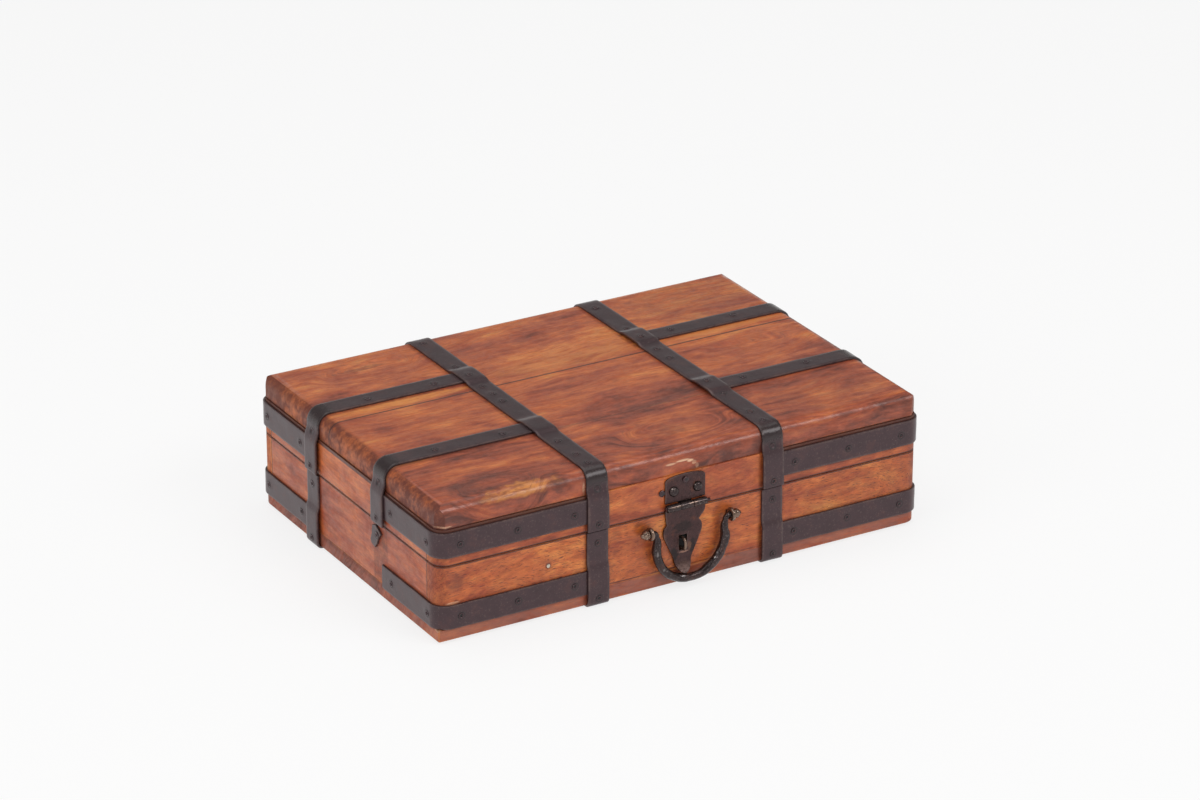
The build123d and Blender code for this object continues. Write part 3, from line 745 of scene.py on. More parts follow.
def forged_rod(shell, points, radii, sides, depth):
    """Rod along points in space, its radius given at each, with hammer marks."""
    points = [Vector(point) for point in points]
    rings, across = [], None
    for k, point in enumerate(points):
        way = (points[min(k + 1, len(points) - 1)] - points[max(k - 1, 0)]).normalized()
        across = way.orthogonal() if across is None else across - way * across.dot(way)
        across.normalize()
        other = way.cross(across)
        ring = []
        for side in range(sides):
            angle = 2 * pi * side / sides
            spoke = across * cos(angle) + other * sin(angle)
            reach = radii[k] * (1 + hammered(point + spoke * radii[k], depth, 5.0) / 2.5)
            ring.append(point + spoke * reach)
        rings.append(ring)
    shell.loft(rings)


# ---------------------------------------------------------------- iron strip


def over(low, high, run=4.2, clear=1.0):
    """Where a strap leaves its bed, is up, starts down and is down again, over iron from low to high."""
    return low - clear - run, low - clear, high + clear, high + clear + run


def side_plan(nx, ny, along):
    """Upright drawing across the side that faces (nx, ny): u outwards, v up."""
    return Plan((along * abs(ny), along * abs(nx), 0), (nx, ny, 0), (0, 0, 1), (-ny, nx, 0))


def lid_edge(half, slab):
    """Corners of a strap from the seam up the lid's wall, over its band and up the edge of the slab."""
    proud = half + STRAP_THICKNESS
    seam, band = SEAM_LID + SEAM_EASE, LID_BAND_HIGH.z + 0.6
    return [(proud, seam), (proud, band), (slab, WALL_TOP + 4.5), (slab, TOP)]


def base_line(half, top):
    """Corners and bends of a strap down the base's wall, over its band and in under the box."""
    proud = half + STRAP_THICKNESS
    band = BASE_BAND_HIGH.z + 0.4
    foot = half - 18.0
    corners = [(half, top), (half, band + 3.2), (proud, band), (proud, WOOD_BOTTOM), (foot, WOOD_BOTTOM)]
    return corners, (0, 0, STRAP_THICKNESS)


def strap_iron():
    """The straps' finish, made once."""
    made = bpy.data.materials.get("strap_iron")
    if made:
        return made
    shades = bpy.context.scene.ditty_box_colours
    return iron_finish("strap_iron", tuple(shades.iron), gloss=0.36, metallic=0.5, rust=0.10)


def strap_piece(node, shell, body, seats):
    """Piece of strip iron that stands for a node, dented where its nails are seated."""
    make_piece(f"{node}_iron", shell, body, strap_iron(), [node], seats)


def knuckle_roll(shell, x, width, turn):
    """Leaf's end rolled round the hinge pin; turn is 1 for the lid's leaf and -1 for the base's."""
    plan = side_plan(0, 1, x)
    line = [(HALF_Y, HINGE_Z + turn * KNUCKLE_START)]
    roll, steps = 300, 24
    for k in range(steps + 1):
        angle = radians(180 + turn * roll * k / steps)
        line.append((HINGE_Y + KNUCKLE_RADIUS * cos(angle), HINGE_Z + KNUCKLE_RADIUS * sin(angle)))
    points = np.array(line[::turn])
    section = [(-across, up, rub) for across, up, rub, _ in strip_section(width, STRAP_THICKNESS)]
    rings = []
    for point, way in zip(points, directions(points)):
        side = plan.way(-way[1], way[0])
        rings.append([plan.at(*point) + plan.w * across + side * up for across, up, _ in section])
    shell.loft(rings, [rub for _, _, rub in section], [False] * len(section))


def lid_strap_line(width, thickness):
    """Corners and bends of a long strap: up the front, over the cross straps and down to the hinge."""
    edge = lid_edge(HALF_Y, SLAB_Y)
    corners = [(-u, v) for u, v in edge]
    for centre in (-CROSS_Y, CROSS_Y):
        start, up, down, end = over(centre - width / 2, centre + width / 2)
        corners += [(start, TOP), (up, TOP + thickness), (down, TOP + thickness), (end, TOP)]
    corners += edge[:0:-1]
    corners += [(HALF_Y + thickness, LID_BAND_LOW.z - 0.5), (HALF_Y, LID_BAND_LOW.z - 3.6)]
    corners += [(HALF_Y, HINGE_Z + KNUCKLE_START)]
    slab_edges = ((-SLAB_Y, TOP), (SLAB_Y, TOP))
    return corners, [SLAB_BEND if corner in slab_edges else 0 for corner in corners[1:-1]]


class IronOperator:
    """What the operators that work iron share."""

    bl_options = {"REGISTER", "UNDO"}

    def sizes(self):
        return bpy.context.scene.ditty_box_sizes

    def strip_size(self):
        return self.sizes().strap_width / MM, self.sizes().strap_thickness / MM


class DITTYBOX_OT_lid_straps(IronOperator, bpy.types.Operator):
    """Lays the two long straps over the lid and rolls their ends round the hinge pins"""

    bl_idname = "dittybox.lid_straps"
    bl_label = "Lid Straps"

    def execute(self, context):
        width, thickness = self.strip_size()
        knuckle_width = 5.6
        corners, bends = lid_strap_line(width, thickness)
        for side, x in LONG_STRAPS:
            seats, plan = seats_at(LID_SEATS, 0, x), side_plan(0, 1, x)
            shell = Shell()
            bent_strip(shell, plan, corners, bends, width - STRAP_DRAWN, thickness, seats, aside=0.8)
            knuckle_roll(shell, x, knuckle_width, 1)
            strap_piece(f"lid_strap_{side}", shell, "lid", seats)
        return {"FINISHED"}


class DITTYBOX_OT_cross_straps(IronOperator, bpy.types.Operator):
    """Runs the four cross straps from under the long straps to the ends of the lid"""

    bl_idname = "dittybox.cross_straps"
    bl_label = "Cross Straps"

    def execute(self, context):
        width, thickness = self.strip_size()
        line, bends = [(STRAP_X - 2.0, TOP)] + lid_edge(HALF_X, SLAB_X)[::-1], (SLAB_BEND, 0, 0)
        for corner, sx, sy in CORNERS:
            plan = side_plan(sx, 0, sy * CROSS_Y)
            seats = [s for s in seats_at(LID_SEATS, 1, sy * CROSS_Y) if s[0].x * sx > STRAP_X + 9]
            shell = Shell()
            bent_strip(shell, plan, line, bends, width - STRAP_DRAWN, thickness, seats, aside=1.1)
            strap_piece(f"cross_strap_{corner}", shell, "lid", seats)
        return {"FINISHED"}


class DITTYBOX_OT_corner_bands(IronOperator, bpy.types.Operator):
    """Bends the eight corner bands round the corners of the lid and the base"""

    bl_idname = "dittybox.corner_bands"
    bl_label = "Corner Bands"

    def execute(self, context):
        width, thickness = self.strip_size()
        start, stop = STRAP_X + width / 2 - BAND_TUCK, CROSS_Y + width / 2 - BAND_TUCK
        line = [(start, HALF_Y), (HALF_X, HALF_Y), (HALF_X, stop)]
        # The lid's bands are a little wider than the base's, at their upper edge.
        for body, nails, low, high, wider in (
            ("lid", LID_SEATS, LID_BAND_LOW, LID_BAND_HIGH, 0.8),
            ("base", BASE_SEATS, BASE_BAND_LOW, BASE_BAND_HIGH, 0.0),
        ):
            z = (low.z + high.z) / 2
            for corner, sx, sy in CORNERS:
                plan = Plan((0, 0, z + wider / 2), (sx, 0, 0), (0, sy, 0), (0, 0, 1))
                seats = [s for s in seats_at(nails, 2, z, 1.0) if s[0].x * sx > 0 and s[0].y * sy > 0]
                shell = Shell()
                bent_strip(shell, plan, line, (WALL_CORNER,), width + wider, thickness, seats, softness=0.6)
                strap_piece(f"{body}_corner_band_{corner}", shell, body, seats)
        return {"FINISHED"}


class DITTYBOX_OT_base_straps(IronOperator, bpy.types.Operator):
    """Hangs the upright straps of the base's front and ends and turns them in under the box"""

    bl_idname = "dittybox.base_straps"
    bl_label = "Base Straps"

    def execute(self, context):
        width, thickness = self.strip_size()
        places = [(f"base_front_strap_{side}", 0, -1, x) for side, x in LONG_STRAPS]
        # The left end has lost the strap at its front.
        places += [(f"base_end_strap_{corner}", sx, 0, sy * CROSS_Y) for corner, sx, sy in CORNERS[1:]]
        for node, nx, ny, along in places:
            across, outwards, half = (1, 0, HALF_X) if nx else (0, 1, HALF_Y)
            seats = [s for s in seats_at(BASE_SEATS, across, along) if s[0][outwards] * (nx or ny) > 0]
            corners, bends = base_line(half, SEAM_BASE - SEAM_EASE)
            shell = Shell()
            bent_strip(shell, side_plan(nx, ny, along), corners, bends, width - STRAP_DRAWN, thickness, seats)
            strap_piece(node, shell, "base", seats)
        return {"FINISHED"}


class DITTYBOX_OT_hinges(IronOperator, bpy.types.Operator):
    """Makes the base leaves of the lid hinges and drives in their pins"""

    bl_idname = "dittybox.hinges"
    bl_label = "Hinges"

    def execute(self, context):
        width, thickness = self.strip_size()
        knuckle_width = 5.0
        corners, bends = base_line(HALF_Y, HINGE_Z - KNUCKLE_START)
        for side, x in LONG_STRAPS:
            seats = [seat for seat in seats_at(BASE_SEATS, 0, x) if seat[0].y > 0]
            shell = Shell()
            bent_strip(shell, side_plan(0, 1, x), corners, bends, width, thickness, seats)
            for way in (-1, 1):
                knuckle_roll(shell, x + way * (width - knuckle_width) / 2, knuckle_width, -1)
            strap_piece(f"base_hinge_strap_{side}", shell, "base", seats)
            node = f"hinge_pin_{side}"
            low, high = span(node)
            radius, reach = (high.z - low.z) / 2, high.x - low.x
            pin = Shell()
            profile = [(0.3, 0), (radius * 0.8, 0.05), (radius, 0.5), (radius, reach - 0.5),
                       (radius * 0.8, reach - 0.05), (0.3, reach)]
            turned_shape(pin, (low.x, HINGE_Y, HINGE_Z), (1, 0, 0), profile)
            make_piece(f"{node}_iron", pin, "base", strap_iron(), [node])
        return {"FINISHED"}


class DITTYBOX_OT_torn_end(IronOperator, bpy.types.Operator):
    """Leaves the torn end of the missing end strap under its nail"""

    bl_idname = "dittybox.torn_end"
    bl_label = "Torn Strap End"

    def execute(self, context):
        _, thickness = self.strip_size()
        low, high = span("torn_strap_end")
        # Outline of the torn scrap: across, and up from its highest point
        outline = [(-1.8, 0.0), (2.8, -1.8), (3.2, -7.6), (5.4, -12.8), (3.9, -14.8), (-0.4, -15.9),
                   (-3.4, -12.6), (-4.8, -9.3), (-8.4, -4.5), (-6.7, -3.1)]
        left, steps = low.y - min(u for u, _ in outline), 5
        ragged = []
        for (u1, v1), (u2, v2) in zip(outline, outline[1:] + outline[:1]):
            for k in range(steps):
                u, v = u1 + (u2 - u1) * k / steps, v1 + (v2 - v1) * k / steps
                wobble = 0.25 * noise.noise(Vector((u, v, 5.0)))
                ragged.append((u + left + wobble, v + high.z + wobble))
        shell = Shell()
        plan = side_plan(0, 1, -HALF_X)
        middle = (sum(u for u, _ in ragged) / len(ragged), sum(v for _, v in ragged) / len(ragged))
        rings = []
        for share, level in ((1.0, 0.0), (1.0, 0.7), (0.97, 1.0), (0.6, 1.0), (0.25, 1.0)):
            rise = thickness * level
            ring = []
            for u, v in ragged:
                u, v = middle[0] + (u - middle[0]) * share, middle[1] + (v - middle[1]) * share
                ring.append(plan.at(u, v, rise + hammered((u, v, rise), 0.05, 4.0)))
            rings.append(ring)
        shell.loft(rings)
        # The two rings along the torn edge are rubbed bright.
        for index in range(len(shell.rub)):
            shell.rub[index] = 1.0 if len(ragged) <= index < 3 * len(ragged) else 0.0
        seats = [s for s in BASE_SEATS if s[0].x < -HALF_X and low.y < s[0].y < high.y and s[0].z > low.z]
        strap_piece("torn_strap_end", shell, "base", seats)
        return {"FINISHED"}


class DITTYBOX_OT_nails(IronOperator, bpy.types.Operator):
    """Drives a domed nail into each dent of the lid and the base"""

    bl_idname = "dittybox.nails"
    bl_label = "Nails"

    def execute(self, context):
        sizes = self.sizes()
        shades = context.scene.ditty_box_colours
        radius, rise = sizes.nail_head / MM / 2, sizes.nail_rise / MM
        depth = sizes.dish_depth / MM
        finish = iron_finish("nail_iron", tuple(shades.iron), gloss=0.3, metallic=0.6, scale=2.0, glints=0.5)
        for body, seats in (("lid", LID_SEATS), ("base", BASE_SEATS)):
            shell = Shell()
            centres = []
            for seat, way in seats:
                swell = 1 + 0.10 * noise.noise(seat / 7.0)
                tilt = Vector([noise.noise(seat / 5.0 + Vector((k, 0, 0))) for k in range(3)]) * 0.12
                top = rise * (1 + 0.25 * noise.noise(seat / 3.0))
                # The two nails round the hasp's leaf have tall domed heads.
                if body == "lid" and seat.z > LEAF_LOW.z and abs(seat.x - LEAF_LOW.x) < 16 and seat.y < 0:
                    profile = [(1.8, -0.4), (2.2, 0.25), (2.15, 0.8), (1.7, 1.2), (0.9, 1.35), (0.2, 1.38)]
                    centres.append((seat + way * 1.2, way))
                else:
                    profile = [(radius * share * swell, level) for share, level in (
                        (0.96, -depth - 0.6), (1.0, -depth * 0.35), (0.93, top * 0.55), (0.76, top),
                        (0.60, top * 0.85), (0.47, top * 0.1), (0.36, -0.32), (0.08, -0.34))]
                    centres.append((seat, way))
                turned_shape(shell, seat, (way + tilt).normalized(), profile)
            piece = make_piece(f"{body}_nails_iron", shell, body, finish, [f"{body}_nails"])
            darken_centres(piece, centres, radius * 0.44)
        return {"FINISHED"}


def darken_centres(piece, seats, radius):
    """Marks the sunk middle of each nail as dark, as painted shade."""
    points = np.array([tuple(vert.co / MM) for vert in piece.data.vertices])
    dents = np.zeros(len(points))
    for seat, way in seats:
        across, rise = round_nail(points, seat, way)
        dents[(across < radius) & (np.abs(rise) < 1.5)] = 1.0
    piece.data.attributes["dent"].data.foreach_set("value", dents.astype(np.float32))


class DITTYBOX_OT_brad(IronOperator, bpy.types.Operator):
    """Presses the stray brad into the front of the base"""

    bl_idname = "dittybox.brad"
    bl_label = "Stray Brad"

    def execute(self, context):
        low, high = span("stray_brad")
        seat = Vector(((low.x + high.x) / 2, high.y, (low.z + high.z) / 2))
        shades = context.scene.ditty_box_colours
        finish = iron_finish("brad_steel", tuple(shades.brass), gloss=0.25, metallic=0.9, rust=0.0, scale=3.0)
        shell = Shell()
        profile = [(1.2, -0.6), (1.35, 0.05), (1.25, 0.28), (0.8, 0.48), (0.2, 0.54)]
        turned_shape(shell, seat, (0.1, -1, 0.12), profile, 16)
        make_piece("stray_brad_steel", shell, "base", finish, ["stray_brad"])
        return {"FINISHED"}


# ---------------------------------------------------------------- hasp

PLATE_THICKNESS = 1.2
# Gap between the flap and the wall behind it
FLAP_GAP = 0.3
BARREL_RADIUS = 2.45
# Width of the leaf's knuckle, in the middle of the barrel, and of the gap at each side of it
LEAF_KNUCKLE, KNUCKLE_GAP = 9.0, 0.2
# Ends of the flap's slot, half its width, and the height at which the tongue starts to bend out
SLOT_LOW, SLOT_HIGH, SLOT_HALF = 23.9, 34.5, 3.0
TONGUE_BEND = 16.7
# Radius of a rivet's head
RIVET_RADIUS = 3.75


def plate_hammer(x, z):
    """How far hammer marks lift a plate of the hasp at a place."""
    return hammered((x, 0, z), 0.03, 6.0)


def plate(name, rows, body, finish, node, hole=()):
    """Plate from rows of points on its face, with the cells in hole left out, thickened inwards."""
    work = bmesh.new()
    layer = work.verts.layers.float.new("rub")
    grid = [[work.verts.new(Vector(point) * MM) for point in row] for row in rows]
    for j, row in enumerate(grid[:-1]):
        for i in range(len(row) - 1):
            if (i, j) not in hole:
                work.faces.new((row[i], row[i + 1], grid[j + 1][i + 1], grid[j + 1][i]))
    for vert in list(work.verts):
        if not vert.link_faces:
            work.verts.remove(vert)
        elif any(len(edge.link_faces) < 2 for edge in vert.link_edges):
            vert[layer] = 1.0
    bmesh.ops.recalc_face_normals(work, faces=work.faces)
    work.faces.ensure_lookup_table()
    if sum(face.normal.y for face in work.faces) > 0:
        bmesh.ops.reverse_faces(work, faces=work.faces)
    mesh = bpy.data.meshes.new(name)
    work.to_mesh(mesh)
    work.free()
    mesh.attributes.new("dent", "FLOAT", "POINT")
    piece = add_piece(name, mesh, body, finish, [node])
    solid = piece.modifiers.new("Thickness", "SOLIDIFY")
    solid.thickness, solid.offset, solid.use_even_offset = PLATE_THICKNESS * MM, -1.0, True
    ease = piece.modifiers.new("Filed edge", "BEVEL")
    ease.width, ease.segments, ease.limit_method, ease.angle_limit = 0.28 * MM, 2, "ANGLE", radians(50)
    even_shading(piece, True)


def barrel(shell, x, width):
    """One knuckle of the hasp's barrel, a little irregular."""
    radius, ease = BARREL_RADIUS, 0.35
    start = [(0.6, 0.0), (radius * 0.86, 0.03), (radius * 0.98, ease)]
    count, run = max(3, int(width / 1.2)), width - 2 * ease
    middle = [(radius * (1 + 0.012 * sin(3.0 * k + x)), ease + run * k / count) for k in range(1, count)]
    end = [(size, width - rise) for size, rise in reversed(start)]
    turned_shape(shell, (x - width / 2, HASP_Y, HASP_Z), (1, 0, 0), start + middle + end, 24)


def block_between(shell, low, high):
    """Plain bar between two corners, to join a knuckle to its leaf."""
    (x0, y0, z0), (x1, y1, z1) = low, high
    section = ((y0, z0), (y1, z0), (y1, z1), (y0, z1))
    shell.loft([[Vector((x, y, z)) for y, z in section] for x in (x0, x1)])


def flap_edges(slot_x, centre, half):
    """The flap's left and right edge at a height: straight, notched, lobed round the slot, spade tongue."""
    drops = [0.0, 6.0, 8.5, 10.5, 12.0, 12.7, 14.2, 16.0, 18.0, 20.5, 24.0, 28.0, 31.7, 35.0, 37.0, 38.5,
             40.5, 42.5, 44.0, 45.0, 45.5]
    wide = [half, 14.3, 13.5, 12.4, 11.5, 12.2, 13.4, 13.9, 14.0, 13.5, 12.0, 10.2, 8.5, 7.0, 6.2, 6.0,
            5.5, 4.4, 3.2, 1.9, 0.6]

    def edges(z):
        drop = HASP_Z - z
        middle = centre + (slot_x - centre) * min(1.0, max(0.0, (drop - 7) / 5))
        reach = float(np.interp(drop, drops, wide))
        return middle - reach, middle + reach

    return edges


def flap_levels():
    """Heights of the flap's rows, from its tip upwards, with one at each end of the slot."""
    above = np.linspace(HASP_Z - 3.2, SLOT_HIGH, 30)
    within = np.linspace(SLOT_HIGH, SLOT_LOW, 10)[1:]
    below = np.linspace(SLOT_LOW, FLAP_TIP, 22)[1:]
    return sorted([*above, *within, *below])


def tongue_kick(z):
    """How far the tongue is bent outwards at a height."""
    drop = max(0.0, TONGUE_BEND - z)
    return 0.70 * drop * drop / (drop + 1.6)


def flap_swell(x, z, slot_x):
    """Low pillow that the flap was hammered to round its slot."""
    return 0.35 * exp(-(((x - slot_x) / 8) ** 2) - (((z - 29) / 9) ** 2))


class DITTYBOX_OT_hasp(IronOperator, bpy.types.Operator):
    """Makes the hasp: the leaf on the lid, the waisted flap, its barrel, pin and rivets"""

    bl_idname = "dittybox.hasp"
    bl_label = "Hasp"

    def execute(self, context):
        shades = context.scene.ditty_box_colours
        black_patch, worn = paint(24, 18, 18), paint(150, 112, 96)
        black = iron_finish(
            "hasp_iron", paint(66, 41, 41), gloss=0.32, metallic=0.6, rust=0.35, scale=1.6, pits=0.4,
            coat=0.1,
            marks=[
                (black_patch, 0.8, (-8.5, -123.0, 22.0), (3.0, 9.0, 4.5), 1.4),
                (black_patch, 0.7, (4.6, -123.0, 25.0), (3.0, 9.0, 5.0), 1.4),
                (black_patch, 0.6, (-2.0, -123.0, 40.0), (7.0, 9.0, 4.0), 1.6),
                (worn, 0.8, (-1.6, -123.0, 22.6), (3.4, 9.0, 0.8), 0.9),
                (paint(120, 84, 66), 0.7, (2.6, -123.0, 26.0), (1.6, 9.0, 3.0), 1.3),
                (paint(96, 74, 66), 0.6, (-2.2, -125.0, 12.5), (6.0, 9.0, 5.0), 1.2),
            ])
        # The bright spots on the rivets' domes and the light lines along the barrel are painted highlights.
        painted_highlight, brown = paint(204, 190, 182), paint(150, 126, 112)
        bright = iron_finish(
            "rivet_iron", tuple(shades.hammered_iron), gloss=0.16, metallic=0.85, glints=0.4, pits=0.15,
            fleck=paint(170, 156, 148), coat=0.1,
            marks=[
                (painted_highlight, 0.7, (-10.8, -124.0, 67.8), (0.9, 3.0, 0.6), 0.9),
                (painted_highlight, 0.7, (5.8, -124.0, 67.4), (0.9, 3.0, 0.6), 0.9),
                (brown, 0.6, (-8.5, -124.5, 56.0), (4.5, 3.0, 0.5), 1.1),
                (brown, 0.5, (3.4, -124.5, 56.4), (3.2, 3.0, 0.4), 1.1),
            ])
        centre, half = (LEAF_LOW.x + LEAF_HIGH.x) / 2, (LEAF_HIGH.x - LEAF_LOW.x) / 2
        self.cut_leaf(centre, half, black, bright)
        self.cut_flap(centre, half, black, bright)
        self.fix_pin_and_rivets(black, bright)
        return {"FINISHED"}

    def cut_leaf(self, centre, half, black, bright):
        """Leaf from columns of points whose tops follow its arch, and its knuckle."""
        low, shoulder, top = HASP_Z + BARREL_RADIUS + 0.3, LEAF_HIGH.z - 2.1, LEAF_HIGH.z
        face = -HALF_Y - PLATE_THICKNESS
        columns, levels = 24, 16
        rows = []
        for j in range(levels + 1):
            row = []
            for i in range(columns + 1):
                share = 2 * i / columns - 1
                crown = shoulder + (top - shoulder) * (1 - share * share)
                # The upper corners are cut off.
                if abs(share) > 0.88:
                    crown -= (abs(share) - 0.88) * 9
                x, z = centre + half * share, low + (crown - low) * j / levels
                row.append((x, face - 0.05 - plate_hammer(x, z), z))
            rows.append(row)
        plate("hasp_leaf_iron", rows, "lid", black, "hasp_leaf")
        knuckle, reach = Shell(), LEAF_KNUCKLE / 2
        barrel(knuckle, centre, LEAF_KNUCKLE)
        block_between(
            knuckle, (centre - reach, face, HASP_Z + 0.8), (centre + reach, -HALF_Y - 0.02, low + 0.4))
        make_piece("hasp_leaf_knuckle", knuckle, "lid", bright)

    def cut_flap(self, centre, half, black, bright):
        """Flap from rows between its two edges, split at the sides of its slot, and its knuckles."""
        slot_x = (STAPLE_LOW.x + STAPLE_HIGH.x) / 2 + 0.9
        back = -HALF_Y - FLAP_GAP
        face = back - PLATE_THICKNESS
        edges = flap_edges(slot_x, centre, half)
        inner_count, side_count = 5, 8
        rows, hole = [], set()
        for j, z in enumerate(flap_levels()):
            left, right = edges(z)
            inset, least = min(SLOT_HALF, (right - left) * 0.28), 0.2 * (right - left)
            a, b = max(slot_x - inset, left + least), min(slot_x + inset, right - least)
            xs = [left + (a - left) * k / side_count for k in range(side_count)]
            xs += [a + (b - a) * k / inner_count for k in range(inner_count)]
            xs += [b + (right - b) * k / side_count for k in range(side_count + 1)]
            rows.append([
                (x, face - tongue_kick(z) - plate_hammer(x, z) - flap_swell(x, z, slot_x), z) for x in xs])
            if SLOT_LOW - 0.01 <= z < SLOT_HIGH - 0.01:
                hole |= {(side_count + k, j) for k in range(inner_count)}
        plate("hasp_flap_iron", rows, "hasp_flap", black, "hasp_flap", hole)
        inner = LEAF_KNUCKLE / 2 + KNUCKLE_GAP
        width = half - inner
        knuckles = Shell()
        for way in (-1, 1):
            x, low = centre + way * (inner + width / 2), HASP_Z - BARREL_RADIUS - 0.9
            barrel(knuckles, x, width)
            block_between(knuckles, (x - width / 2, face, low), (x + width / 2, back, HASP_Z - 0.4))
        make_piece("hasp_flap_knuckles", knuckles, "hasp_flap", bright)

    def fix_pin_and_rivets(self, black, bright):
        pin = Shell()
        rod, reach = (HASP_HIGH.z - HASP_LOW.z) / 2, HASP_HIGH.x - HASP_LOW.x
        turned_shape(pin, (HASP_LOW.x - 0.9, HASP_Y, HASP_Z), (1, 0, 0), [
            (0.2, 0.0), (rod * 1.15, 0.05), (rod * 1.4, 0.5), (rod, 1.0), (rod, reach + 0.4),
            (rod * 0.9, reach + 0.7), (0.2, reach + 0.85)])
        make_piece("hasp_pin_iron", pin, "lid", black, ["hasp_pin"])

        # The two heads fill the corners of the rivets' box, the left one at its upper corner.
        rivets = Shell()
        low, high = span("hasp_rivets")
        for x in (low.x + RIVET_RADIUS, high.x - RIVET_RADIUS):
            z = high.z - RIVET_RADIUS if x < 0 else low.z + RIVET_RADIUS
            turned_shape(rivets, (x, -HALF_Y - PLATE_THICKNESS - 0.05, z), (0, -1, 0), [
                (3.3, -0.3), (3.35, 0.3), (3.15, 0.95), (2.65, 1.5), (1.9, 1.93), (1.1, 2.12), (0.3, 2.18),
            ], 24)
        make_piece("hasp_rivets_iron", rivets, "lid", bright, ["hasp_rivets"])


class DITTYBOX_OT_staple(IronOperator, bpy.types.Operator):
    """Drives in the wire staple that the flap closes over"""

    bl_idname = "dittybox.staple"
    bl_label = "Staple"

    def execute(self, context):
        shades = context.scene.ditty_box_colours
        x = (STAPLE_LOW.x + STAPLE_HIGH.x) / 2
        rod = (STAPLE_HIGH.x - STAPLE_LOW.x) / 2
        near, far = STAPLE_HIGH.y, STAPLE_LOW.y + rod
        low, high = STAPLE_LOW.z + rod, STAPLE_HIGH.z - rod
        line = rounded_line([(near, high), (far, high), (far, low), (near, low)], (2.6, 2.6))
        points = [Vector((x, y, z)) for y, z in even_line(line, 0.5)]
        shell = Shell()
        forged_rod(shell, points, [rod] * len(points), 16, 0.12)
        finish = iron_finish(
            "staple_iron", tuple(shades.bronzed), gloss=0.26, metallic=0.9, rust=0.5, scale=2.5, glints=0.9)
        make_piece("hasp_staple_iron", shell, "base", finish, ["hasp_staple"])
        return {"FINISHED"}


# ---------------------------------------------------------------- drop handle

# Length of each pointed end of the handle, and outer radius of an eye
HANDLE_POINT, EYE_OUTER = 5.6, 4.5


